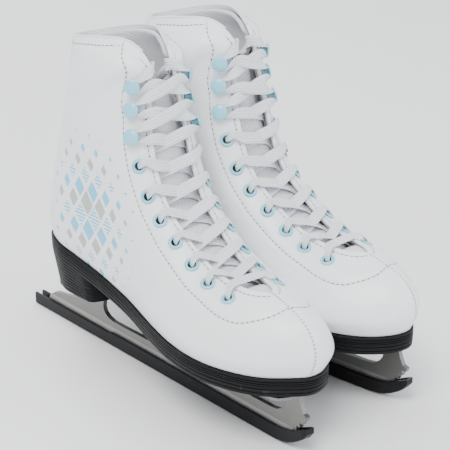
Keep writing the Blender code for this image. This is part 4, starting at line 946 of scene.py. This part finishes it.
# ---------------------------------------------------------------- lines of stitching, as (u, v) on the skin
FACING_LINE = [(12.15, 5.96), (11.75, 5.36), (10.75, 4.72), (9.8, 4.6), (9.1, 4.52), (8.6, 4.44), (8.05, 4.4), (7.3, 4.28), (6.5, 4.12), (5.6, 4.0), (4.75, 3.84), (4.05, 3.72), (3.3, 3.36), (2.6, 3.24), (1.8, 3.52), (0.7, 3.88), (0.15, 3.95)]
COLLAR_LINE = [(12.1, 5.78), (12.65, 5.72), (13.2, 5.72), (13.9, 5.72), (14.9, 5.7)]
EDGE_LINE = [(11.35, 5.72), (11.0, 5.76), (10.4, 5.7), (9.5, 5.7), (8.6, 5.7), (7.5, 5.7), (6.0, 5.7), (4.5, 5.7), (3.0, 5.7), (2.2, 5.62), (1.2, 5.55), (0.35, 5.5)]


def displaced(side, U, V, P, N):
    """How far the leather stands off the plain skin: sunk along stitching, soft between."""
    flat = P.reshape(-1, 3)
    out = np.zeros(len(flat))
    for line, depth in ((FACING_LINE, 0.42), (COLLAR_LINE, 0.45), (EDGE_LINE, 0.28)):
        pts, _ = on_skin(side, spread(line, side, 1.2))
        best = np.full(len(flat), 1e9)
        for k in range(0, len(flat), 4000):
            d = np.linalg.norm(flat[k:k + 4000, None] - pts[None], axis=2)
            best[k:k + 4000] = d.min(1)
        out += -depth * np.exp(-(best / 1.05) ** 2) + 0.16 * np.exp(-((best - 3.2) / 1.8) ** 2)
    Ug, Vg = np.meshgrid(U, V, indexing="ij")
    u, v = Ug.ravel(), Vg.ravel()
    seam = np.abs(flat[:, 0] - 0.45)
    out += np.where(u < 1.6, -0.55 * np.exp(-(seam / 0.8) ** 2) + 0.15 * np.exp(-((seam - 2.4) / 1.4) ** 2), 0.0)
    # gentle unevenness of a worked hide, and the first folds where the ankle bends
    out += 0.13 * np.sin(flat[:, 1] * 0.115 + 1.3) * np.sin(flat[:, 2] * 0.09 + flat[:, 0] * 0.05)
    fold = np.exp(-((u - 8.2) / 1.1) ** 2) * np.exp(-((v - 3.4) / 0.7) ** 2)
    out += 0.28 * fold * np.sin(flat[:, 2] * 0.62 + flat[:, 1] * 0.22)
    out *= np.clip(v / 0.5, 0, 1)
    return out.reshape(P.shape[:2])


U_FINE = np.unique(np.round(np.concatenate([[0, 0.02, 0.05, 0.09, 0.14, 0.2, 0.27, 0.35], np.arange(0.45, 15.001, 0.11), [15.0]]), 4))
V_FINE = np.unique(np.round(np.concatenate([np.arange(0, 5.8, 0.1), [5.85, 5.93, 5.98]]), 4))
UPPER_CACHE = {}


def upper(skate, side):
    tag = NAMES[skate]
    which = "outer" if side < 0 else "inner"
    if side not in UPPER_CACHE:
        P, N = grid_with_normals(side, U_FINE, V_FINE)
        D = displaced(side, U_FINE, V_FINE, P, N)
        UPPER_CACHE[side] = (P, N, D)
    P, N, D = UPPER_CACHE[side]
    outer = P + N * D[..., None]
    inner = P - N * UPPER_T
    up = P[:, -1] - P[:, -3]
    up /= np.linalg.norm(up, axis=1)[:, None] + 1e-9
    top, nt = P[:, -1], N[:, -1]
    rim = [top + up * 0.35 - nt * 0.35, top + up * 0.55 - nt * 1.1]
    flat = N[:, 3].copy()
    flat[:, 2] = 0
    flat /= np.linalg.norm(flat, axis=1)[:, None] + 1e-9
    foot = P[:, 0] - flat * 8.0
    foot[:, 2] = [sole_z(y) + 0.4 for y in foot[:, 1]]
    inner[:, 0] = P[:, 0] - flat * UPPER_T * 0.95 + np.array([0, 0, UPPER_T])
    a = np.concatenate([foot[:, None], outer, rim[0][:, None]], 1)
    b = np.concatenate([(foot + [0, 0, UPPER_T])[:, None], inner, rim[1][:, None]], 1)
    for g in (a, b):
        lim = np.where(U_FINE < 3, 0.45, 0.0)[:, None]
        if side < 0:
            g[..., 0] = np.minimum(g[..., 0], lim - 0.14)
        else:
            g[..., 0] = np.maximum(g[..., 0], lim + 0.14)
    pts, faces = shell(a, b)
    uv = pts[:, 1:3] * 0.01
    mt = M["print"] if side < 0 else M["upper"]
    obj = make(f"boot_{which}_half_{tag}", pts, faces, skate, [mt], f"{tag}_skate", uv=uv,
               nodes=[f"upper_{which}_{tag}"])
    holes = []
    for k, (u, v) in enumerate(FASTENERS):
        c, n = skin(side, u, v), skin_normal(side, u, v)
        r = EYELET_BARREL_R + 0.15 if k < 7 else HOOK_STEM_R + 0.2
        holes.append(lathe([(0, -7), (r, -7), (r, 4), (0, 4)], c, n, 16))
    cp, cf = joined(holes)
    cut_holes(obj, cp, cf, skate)
    return obj


def round_on(side, u, v, profile, steps=28):
    return lathe(profile, skin(side, u, v), skin_normal(side, u, v), steps)


def eyelets(skate, side):
    """The seven rolled eyelets of one facing, set through the tape behind it."""
    tag = NAMES[skate]
    which = "outer" if side < 0 else "inner"
    pts, faces, mats = [], [], []
    for k, (u, v) in enumerate(EYELET_UV):
        low = 0.75 if k == 0 else 0.5
        deep = -(UPPER_T + STAY_GAP + STAY_T + 0.55)
        prof = [(EYELET_BORE_R, deep), (EYELET_BORE_R, low + 0.2), (EYELET_BORE_R + 0.15, low + 0.6), (EYELET_BORE_R + 0.6, low + 0.92),
                (EYELET_BORE_R + 1.2, low + 0.88), (EYELET_R - 0.35, low + 0.45), (EYELET_R - 0.05, low + 0.1), (EYELET_R - 0.1, low - 0.12),
                (EYELET_R - 0.6, low - 0.2), (EYELET_BARREL_R, low - 0.2), (EYELET_BARREL_R, deep)]
        p, f = lathe(prof + prof[:1], skin(side, u, v), skin_normal(side, u, v), 28)
        faces += [tuple(i + len(pts) for i in q) for q in f]
        mats += [0] * len(f)
        pts += list(p)
        ring_p, ring_f = lathe([(EYELET_BARREL_R - 0.1, deep + 0.35), (4.0, deep + 0.1), (4.1, deep - 0.25), (3.4, deep - 0.5), (EYELET_BORE_R, deep - 0.3),
                                (EYELET_BORE_R, deep), (EYELET_BARREL_R - 0.1, deep + 0.35)], skin(side, u, v), skin_normal(side, u, v), 22)
        faces += [tuple(i + len(pts) for i in q) for q in ring_f]
        mats += [1] * len(ring_f)
        pts += list(ring_p)
    return make(f"eyelets_{which}_{tag}", pts, faces, skate, [M["enamel"], M["rivet"]], f"{tag}_skate", face_mats=mats,
                nodes=[f"eyelet_row_{which}_{tag}"], fix=True)


def tape(skate, side):
    tag = NAMES[skate]
    which = "outer" if side < 0 else "inner"
    U = np.arange(2.65, 10.86, 0.12)
    V = np.array([4.5, 4.7, 4.9, 5.1, 5.3, 5.5, 5.7, 5.85])
    P, N = grid_with_normals(side, U, V)
    d0 = UPPER_T + STAY_GAP
    pts, faces = shell(P - N * d0, P - N * (d0 + STAY_T))
    obj = make(f"facing_tape_{which}_{tag}", pts, faces, skate, [M["strip"]], f"{tag}_skate")
    holes = []
    for k, (u, v) in enumerate(FASTENERS):
        r = EYELET_BARREL_R + 0.1 if k < 7 else HOOK_STEM_R + 0.2
        holes.append(lathe([(0, -7), (r, -7), (r, 4), (0, 4)], skin(side, u, v), skin_normal(side, u, v), 12))
    cp, cf = joined(holes)
    cut_holes(obj, cp, cf, skate)


def hooks(skate, side):
    tag = NAMES[skate]
    which = "outer" if side < 0 else "inner"
    inside = -(UPPER_T + STAY_GAP + STAY_T)
    for k, (u, v) in enumerate(HOOK_UV):
        prof = [(0, 6.45), (1.6, 6.42), (3.0, 6.2), (4.2, 5.8), (5.0, 5.3), (5.2, 5.0), (5.05, 4.75), (4.4, 4.62), (2.3, 4.58), (1.85, 4.4),
                (1.7, 4.0), (1.7, 1.9), (1.9, 1.45), (2.6, 1.15), (3.5, 0.95), (3.85, 0.7), (3.8, 0.35), (1.7, 0.3), (1.7, inside - 0.6),
                (2.6, inside - 0.6), (2.75, inside - 0.85), (2.4, inside - 1.1), (1.2, inside - 1.25), (0, inside - 1.25)]
        pts, faces = round_on(side, u, v, prof)
        n_out = 18 * 28
        mats = [0 if i < n_out else 1 for i in range(len(faces))]
        make(f"lace_hook_{which}_{k + 1}_{tag}", pts, faces, skate, [M["enamel"], M["rivet"]], f"{tag}_skate",
             face_mats=mats, nodes=[f"hook_{which}_{k + 1}_{tag}"])


def lining_piece(skate):
    """Brushed textile round the whole quarter, thin along the facings and padded at the collar."""
    tag = NAMES[skate]
    U = np.unique(np.concatenate([np.arange(4.3, 15.0, 0.16), [15.0]]))
    V = np.unique(np.concatenate([np.arange(0.66, 5.9, 0.14), [5.86, 5.93]]))
    grids = []
    # under the facings it stops short of the eyelets, and behind them it runs up to the rim
    top = np.interp(U, [10.95, 11.2], [4.38, 5.93])
    vg = 0.66 + (V[None, :] - 0.66) / (V[-1] - 0.66) * (top[:, None] - 0.66)
    ug = np.repeat(U[:, None], len(V), 1)
    fine = np.linspace(0.66, 5.93, 264)
    at = (vg - 0.66) / (5.93 - 0.66) * 263
    lo = np.clip(np.floor(at).astype(int), 0, 262)
    fr = (at - lo)[..., None]
    pick = np.arange(len(U))[:, None]
    for side in (-1, 1):
        PF, NF = grid_with_normals(side, U, fine)
        P = PF[pick, lo] * (1 - fr) + PF[pick, lo + 1] * fr
        N = NF[pick, lo] * (1 - fr) + NF[pick, lo + 1] * fr
        N /= np.linalg.norm(N, axis=2)[..., None]
        corner = np.clip((0.75 - np.abs(ug - 11.1)) / 0.3, 0, 1) * np.clip((vg - 3.6) / 0.3, 0, 1)
        high = np.clip((ug - 11.0) / 0.2, 0, 1) * np.clip((vg - 4.0) / 0.2, 0, 1)
        start = UPPER_T + LINING_GAP + np.maximum(0.95 * corner, 0.4 * high)
        collar = np.clip((vg - 4.35) / 0.6, 0, 1) * np.clip((ug - 10.9) / 0.5, 0, 1)
        roll = np.clip((5.98 - vg) / 0.35, 0, 1) ** 0.5
        quilt = 0.35 * np.abs(np.sin(ug * 3.3)) * collar
        thick = 1.75 + (1.5 + quilt) * collar * roll
        grids.append((P - N * start[..., None], P - N * (start + thick)[..., None]))
    a = np.concatenate([grids[0][0], grids[1][0][-2::-1]])
    b = np.concatenate([grids[0][1], grids[1][1][-2::-1]])
    pts, faces = shell(a, b)
    obj = make(f"quarter_lining_{tag}", pts, faces, skate, [M["lining"]], f"{tag}_skate", nodes=[f"lining_{tag}"])


def piping(skate):
    tag = NAMES[skate]
    uv = [(-1, u) for u in np.arange(11.45, 15.0, 0.07)] + [(1, u) for u in np.arange(15.0, 11.44, -0.07)]
    path = [skin(s, u, 5.99) - skin_normal(s, u, 5.9) * 1.1 + np.array([0, 0, 0.35]) for s, u in uv]
    p, f = tube(path, 1.25, 10)
    make(f"collar_piping_{tag}", p, f, skate, [M["piping"]], f"{tag}_skate")


def back_strip(skate):
    tag = NAMES[skate]
    us = np.linspace(14.2, 15.0, 12)
    path = [(-1, u) for u in us] + [(1, u) for u in us[-2::-1]]
    vs = np.concatenate([np.arange(0.4, 5.4, 0.12), np.arange(5.4, 5.98, 0.06), [5.97]])
    outer, inner = [], []
    for side, u in path:
        side_fade = min(1.0, (u - 14.2) / 0.08)
        for v in vs:
            bump = 1.25 * math.exp(-((v - 5.75) / 0.16) ** 2) * (0.4 + 0.6 * min(1.0, (u - 14.2) / 0.2))
            n = skin_normal(side, u, v)
            p = skin(side, u, v)
            outer.append(p + n * (0.25 + 0.85 * (0.25 + 0.75 * side_fade) + bump))
            inner.append(p + n * 0.18)
    pts, faces = shell(np.array(outer).reshape(len(path), len(vs), 3), np.array(inner).reshape(len(path), len(vs), 3))
    make(f"back_strip_{tag}", pts, faces, skate, [M["upper"]], f"{tag}_skate", nodes=[f"backstay_{tag}"])


def all_stitching(skate):
    tag = NAMES[skate]
    body = f"{tag}_skate"
    runs = []
    for side in (-1, 1):
        runs += [(side, FACING_LINE, 3.3, 0, None), (side, COLLAR_LINE, 3.3, 0, None), (side, EDGE_LINE, 3.3, 0, None),
                 (side, [(14.32, v) for v in np.linspace(0.7, 5.7, 12)], 3.4, 0, 0.95)]
    stitches(f"stitching_{tag}", skate, body, runs, M["thread"], M["hole"])
    ladder = [(-1, [(0.0, v) for v in np.linspace(0.15, 5.75, 16)], 2.5, 4.6, None)]
    stitches(f"toe_seam_stitching_{tag}", skate, body, ladder, M["seam_thread"], M["hole"], width=0.72, height=0.38, hole=0.45)


# ---------------------------------------------------------------- soles and heel
def stack(name, skate, levels, count, mat, node):
    rings = [[(x, y, zf(y)) for x, y in outline_closed(g, count)] for g, zf in levels]
    pts = [p for r in rings for p in r]
    faces = []
    for k in range(len(rings) - 1):
        for i in range(count):
            j = (i + 1) % count
            faces.append((k * count + i, k * count + j, (k + 1) * count + j, (k + 1) * count + i))
    for base in (0, (len(rings) - 1) * count):
        for i in range(count // 2):
            quad = []
            for q in (base + i, base + i + 1, base + (count - i - 1) % count, base + (count - i) % count):
                if q not in quad:
                    quad.append(q)
            if len(quad) >= 3:
                faces.append(tuple(quad))
    obj = make(name, pts, faces, skate, [mat], f"{NAMES[skate]}_skate", nodes=[node])
    edge_split(obj)
    return obj


def edge_split(obj, angle=38):
    """Crisp edges where the profile turns sharply, smooth elsewhere."""
    bm = bmesh.new()
    bm.from_mesh(obj.data)
    for e in bm.edges:
        if len(e.link_faces) == 2:
            e.smooth = e.calc_face_angle(0.0) < math.radians(angle)
    bm.to_mesh(obj.data)
    bm.free()


def soles(skate):
    tag = NAMES[skate]
    z = sole_z
    def at(d):
        return lambda y: z(y) - d
    g = SOLE_OUT
    stack(f"welt_and_midsole_{tag}", skate, [
        (g - 0.9, at(0.0)), (g - 0.35, at(0.12)), (g - 0.05, at(0.5)), (g, at(0.9)), (g - 0.02, at(1.55)), (g - 0.35, at(1.75)), (g - 0.75, at(1.95)),
        (g - 0.35, at(2.15)), (g - 0.03, at(2.35)), (g - 0.03, at(3.1)), (g - 0.4, at(3.3)), (g - 0.7, at(3.45)), (g - 0.35, at(3.62)),
        (g - 0.03, at(3.8)), (g - 0.05, at(4.3)), (g - 0.3, at(WELT_T))], 240, M["sole"], f"midsole_{tag}")
    d = WELT_T + 0.12
    stack(f"outsole_layers_{tag}", skate, [
        (g - 0.5, at(d)), (g - 0.1, at(d + 0.25)), (g - 0.06, at(d + 0.9)), (g - 0.12, at(6.4)), (g - 0.55, at(6.6)), (g - 0.8, at(6.75)), (g - 0.5, at(6.9)),
        (g - 0.14, at(7.1)), (g - 0.2, at(9.0)), (g - 0.65, at(9.2)), (g - 0.85, at(9.35)), (g - 0.6, at(9.5)), (g - 0.3, at(9.7)), (g - 0.45, at(SOLE_T - 0.6)),
        (g - 0.8, at(SOLE_T - 0.18)), (g - 1.4, at(SOLE_T))], 240, M["sole"], f"outsole_{tag}")
    fb = lambda y: z(y) + 0.4 + UPPER_T + GAP + 1.6 + GAP
    obj = stack(f"soft_footbed_{tag}", skate, [
        (-6.2, lambda y: fb(y)), (-5.4, lambda y: fb(y) + 0.2), (-5.1, lambda y: fb(y) + 0.9), (-5.3, lambda y: fb(y) + 1.8), (-6.0, lambda y: fb(y) + 2.6),
        (-7.4, lambda y: fb(y) + 3.0)], 160, M["footbed"], f"footbed_{tag}")


def heel(skate):
    """Nine thin lifts with a rounded breast."""
    tag = NAMES[skate]
    lifts = 9
    top = lambda y: sole_z(y) - SOLE_T - 0.15
    frac = [(0.0, -0.2)]
    for k in range(lifts):
        a, b = k / lifts, (k + 1) / lifts
        w = 1.0 / lifts
        frac += [(a + 0.10 * w, 0.0), (a + 0.78 * w, 0.0), (a + 0.90 * w, -0.42 if k < lifts - 1 else -0.1)]
    frac.append((1.0, -0.5))

    def section(grow, shrink):
        o = outline_closed(grow, 500)
        keep = o[o[:, 1] > 50.0]
        keep = keep[np.argsort(np.arctan2(keep[:, 0], keep[:, 1] - 50.0))]
        seg = np.concatenate([[0], np.cumsum(np.linalg.norm(np.diff(keep, axis=0), axis=1))])
        want = np.linspace(0, seg[-1], 72)
        arcpts = np.stack([np.interp(want, seg, keep[:, 0]), np.interp(want, seg, keep[:, 1])], 1)
        arcpts[:, 1] = 50.0 + (arcpts[:, 1] - 50.0) * (1 - shrink)
        w0, w1 = arcpts[0, 0], arcpts[-1, 0]
        breast = [(w0 + (w1 - w0) * t, 49.0 - 5.0 * math.sin(math.pi * t) ** 0.6) for t in np.linspace(1, 0, 30)[1:-1]]
        return [tuple(p) for p in arcpts] + breast
    rows = []
    for f, groove in frac:
        sec = section(SOLE_OUT - 0.6 - 3.2 * f + groove, 0.055 * f)
        rows.append([(x, y, top(y) + (HEEL_BOTTOM_Z - top(y)) * f) for x, y in sec])
    n = len(rows[0])
    pts = [p for r in rows for p in r]
    faces = []
    for k in range(len(rows) - 1):
        for i in range(n):
            j = (i + 1) % n
            faces.append((k * n + i, k * n + j, (k + 1) * n + j, (k + 1) * n + i))
    for base in (0, (len(rows) - 1) * n):
        zt = top(70.0) if base == 0 else HEEL_BOTTOM_Z
        pts.append((0.0, 70.0, zt))
        for i in range(n):
            faces.append((base + i, base + (i + 1) % n, len(pts) - 1))
    obj = make(f"stacked_heel_{tag}", pts, faces, skate, [M["sole"]], f"{tag}_skate", nodes=[f"heel_stack_{tag}"])
    edge_split(obj)


# ---------------------------------------------------------------- tongue, a cloth-simulated pad
def tongue_pad(skate):
    tag = NAMES[skate]
    us = np.linspace(2.45, 10.2, 42)
    ws = np.linspace(-1, 1, 25)
    outer, inner = [], []
    for u in us:
        end = min(1.0, 0.45 + (u - us[0]) / 0.5, 0.45 + (us[-1] - u) / 0.5)
        for w in ws:
            wn = w * min(0.92, 0.8 + 0.12 * (u - 2.9) / 0.6)
            thick = 5.0 * (1 - 0.6 * abs(w) ** 3) * end
            outer.append(tongue_surface(u, wn, 7.5 + 0.3 * (1 - end)))
            inner.append(tongue_surface(u, wn, 7.5 + thick))
    pts, faces = shell(np.array(outer).reshape(42, 25, 3), np.array(inner).reshape(42, 25, 3))
    obj = make(f"padded_tongue_{tag}", pts, faces, skate, [M["tongue"]], None)
    inflate(obj, voxel=0.0028, pressure=3.0, cap=0.0012)
    sub = obj.modifiers.new("smooth", "SUBSURF")
    sub.levels = sub.render_levels = 1
    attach(obj, f"{tag}_tongue")
    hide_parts(f"tongue_{tag}")


def throat_gusset(skate):
    """Thin textile piece behind the lowest tip of the throat, sewn under both halves."""
    tag = NAMES[skate]
    us = np.linspace(0.9, 2.55, 14)
    ws = np.linspace(-0.92, 0.92, 17)
    outer = [tongue_surface(u, w, 3.1) for u in us for w in ws]
    inner = [tongue_surface(u, w, 4.1) for u in us for w in ws]
    pts, faces = shell(np.array(outer).reshape(14, 17, 3), np.array(inner).reshape(14, 17, 3))
    make(f"throat_gusset_{tag}", pts, faces, skate, [M["tongue"]], f"{tag}_skate")


def inflate(obj, voxel, pressure, cap):
    """Swells a sewn pad with cloth pressure, each point moving no further than cap."""
    scene = bpy.context.scene
    rem = obj.modifiers.new("voxels", "REMESH")
    rem.mode, rem.voxel_size = "VOXEL", voxel
    bpy.context.view_layer.update()
    mesh = bpy.data.meshes.new_from_object(obj.evaluated_get(bpy.context.evaluated_depsgraph_get()))
    obj.modifiers.clear()
    old = obj.data
    obj.data = mesh
    bpy.data.meshes.remove(old)
    start = np.empty(len(mesh.vertices) * 3)
    mesh.vertices.foreach_get("co", start)
    start = start.reshape(-1, 3)
    cloth = obj.modifiers.new("cloth", "CLOTH")
    s = cloth.settings
    s.quality = 6
    s.mass = 0.2
    s.tension_stiffness = s.compression_stiffness = 18
    s.bending_stiffness = 0.6
    s.use_pressure = True
    s.uniform_pressure_force = pressure
    s.effector_weights.gravity = 0.0
    cloth.collision_settings.use_collision = False
    for f in range(1, 13):
        scene.frame_set(f)
    ev = obj.evaluated_get(bpy.context.evaluated_depsgraph_get())
    moved = np.empty(len(mesh.vertices) * 3)
    ev.data.vertices.foreach_get("co", moved)
    moved = moved.reshape(-1, 3)
    obj.modifiers.clear()
    step = moved - start
    length = np.linalg.norm(step, axis=1)[:, None] + 1e-12
    step *= np.minimum(1.0, cap / length)
    if not np.isfinite(step).all():
        step = np.zeros_like(step)
    mesh.vertices.foreach_set("co", (start + step).ravel())
    mesh.polygons.foreach_set("use_smooth", [True] * len(mesh.polygons))
    mesh.update()
    scene.frame_set(1)


# ---------------------------------------------------------------- laces
def lace_piece(skate):
    tag = NAMES[skate]
    fr = smooth_path(lace_frames(), 1.5)
    C = np.array([f[0] for f in fr])
    T = np.gradient(C, axis=0)
    T /= np.linalg.norm(T, axis=1)[:, None] + 1e-12
    hw = np.array([f[2] for f in fr])
    ht = np.array([f[3] for f in fr])
    k = np.ones(7) / 7
    D = np.array([f[1] for f in fr])
    for _ in range(2):
        D = np.stack([np.convolve(np.pad(D[:, i], 3, mode="edge"), k, "valid") for i in range(3)], 1)
        hw = np.convolve(np.pad(hw, 3, mode="edge"), k, "valid")
        ht = np.convolve(np.pad(ht, 3, mode="edge"), k, "valid")
    s = np.concatenate([[0], np.cumsum(np.linalg.norm(np.diff(C, axis=0), axis=1))])
    prof = [(-1.0, 0.0), (-0.93, 0.55), (-0.75, 0.85), (-0.4, 0.93), (0.0, 0.95), (0.4, 0.93), (0.75, 0.85), (0.93, 0.55), (1.0, 0.0),
            (0.93, -0.55), (0.75, -0.85), (0.4, -0.93), (0.0, -0.95), (-0.4, -0.93), (-0.75, -0.85), (-0.93, -0.55)]
    m_ = len(prof)
    pts, uv, faces = [], [], []
    for i in range(len(C)):
        d = D[i] - T[i] * np.dot(D[i], T[i])
        d /= np.linalg.norm(d) + 1e-12
        n = np.cross(T[i], d)
        for a, b in prof:
            pts.append(C[i] + d * hw[i] * 1.1 * a + n * ht[i] * b)
            uv.append((s[i] * 0.001, a * 3.5 * 0.001))
    for i in range(len(C) - 1):
        for q in range(m_):
            r = (q + 1) % m_
            faces.append((i * m_ + q, i * m_ + r, (i + 1) * m_ + r, (i + 1) * m_ + q))
    faces.append(tuple(range(m_))[::-1])
    faces.append(tuple((len(C) - 1) * m_ + q for q in range(m_)))
    obj = make(f"bootlace_{tag}", pts, faces, skate, [M["lace"]], f"{tag}_skate", uv=uv, nodes=[f"lace_{tag}"])
    for name, end, way in (("start", C[0], C[0] - C[4]), ("end", C[-1], C[-1] - C[-5])):
        way = way / np.linalg.norm(way)
        path = [end + way * t for t in np.linspace(-1.0, 13.0, 8)]
        p, f = tube(path, np.array([1.6, 1.7, 1.6, 1.5, 1.45, 1.4, 1.35, 1.1]), 12)
        tip = make(f"lace_tip_{name}_{tag}", p, f, skate, [M["aglet"]], f"{tag}_skate")
    world = place(C, skate)
    return obj


# ---------------------------------------------------------------- build the visual pieces
for sk in (-1, 1):
    lace_piece(sk)
for sk in (-1, 1):
    for sd in (-1, 1):
        upper(sk, sd)
        eyelets(sk, sd)
        tape(sk, sd)
        hooks(sk, sd)
    lining_piece(sk)
    piping(sk)
    back_strip(sk)
    all_stitching(sk)
    soles(sk)
    heel(sk)
    tongue_pad(sk)
    throat_gusset(sk)


# ---------------------------------------------------------------- CAD pieces that stay, with softened edges
def finish_node(name, mat, width=0.0):
    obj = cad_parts[name]
    for s in obj.material_slots:
        s.material = mat
    if not obj.material_slots:
        obj.data.materials.append(mat)
    if width:
        b = obj.modifiers.new("edges", "BEVEL")
        b.width = width
        b.segments = 2
        b.limit_method = "ANGLE"
        b.angle_limit = math.radians(32)
        b.harden_normals = False


for tag in ("right", "left"):
    finish_node(f"runner_{tag}", M["blade"], 0.00035)
    finish_node(f"front_plate_{tag}", M["plate"], 0.0003)
    finish_node(f"heel_plate_{tag}", M["plate"], 0.0003)
    finish_node(f"guard_{tag}", M["guard"], 0.0005)
    finish_node(f"insole_board_{tag}", M["board"])
    for k in (1, 2, 3, 4):
        finish_node(f"screw_front_{k}_{tag}", M["screw"])
    for k in (1, 2):
        finish_node(f"screw_heel_{k}_{tag}", M["screw"])

# ---------------------------------------------------------------- floor and light
floor_mesh = bpy.data.meshes.new("floor")
floor_mesh.from_pydata([(-6, -6, -0.0004), (6, -6, -0.0004), (6, 6, -0.0004), (-6, 6, -0.0004)], [], [(0, 1, 2, 3)])
floor = bpy.data.objects.new("floor", floor_mesh)
bpy.context.scene.collection.objects.link(floor)
fl = Nodes("floor_pale", (0.86, 0.86, 0.86), 0.6)
fl.color(fl.mix(fl.math("MULTIPLY", fl.noise(fl.obj, 3.0), 0.05), (0.86, 0.86, 0.86), (0.8, 0.8, 0.8)))
floor_mesh.materials.append(fl.mat)

world = bpy.data.worlds.new("studio")
bpy.context.scene.world = world
world.use_nodes = True
world.node_tree.nodes["Background"].inputs[0].default_value = (0.92, 0.95, 1.0, 1)
world.node_tree.nodes["Background"].inputs[1].default_value = 1.3


def area(name, place_at, look, size, power, tint=(1, 1, 1)):
    data = bpy.data.lights.new(name, "AREA")
    data.shape, data.size, data.energy, data.color = "SQUARE", size, power, tint
    o = bpy.data.objects.new(name, data)
    o.location = place_at
    o.rotation_euler = (Vector(look) - Vector(place_at)).to_track_quat("-Z", "Y").to_euler()
    bpy.context.scene.collection.objects.link(o)


area("key", (-0.9, -0.5, 1.5), (0, 0, 0.1), 0.9, 30, (1.0, 0.99, 0.97))
area("fill", (0.9, -1.3, 0.9), (0, 0, 0.1), 1.2, 11, (0.96, 0.98, 1.0))
area("back", (0.3, 1.2, 1.3), (0, 0, 0.1), 1.0, 16)
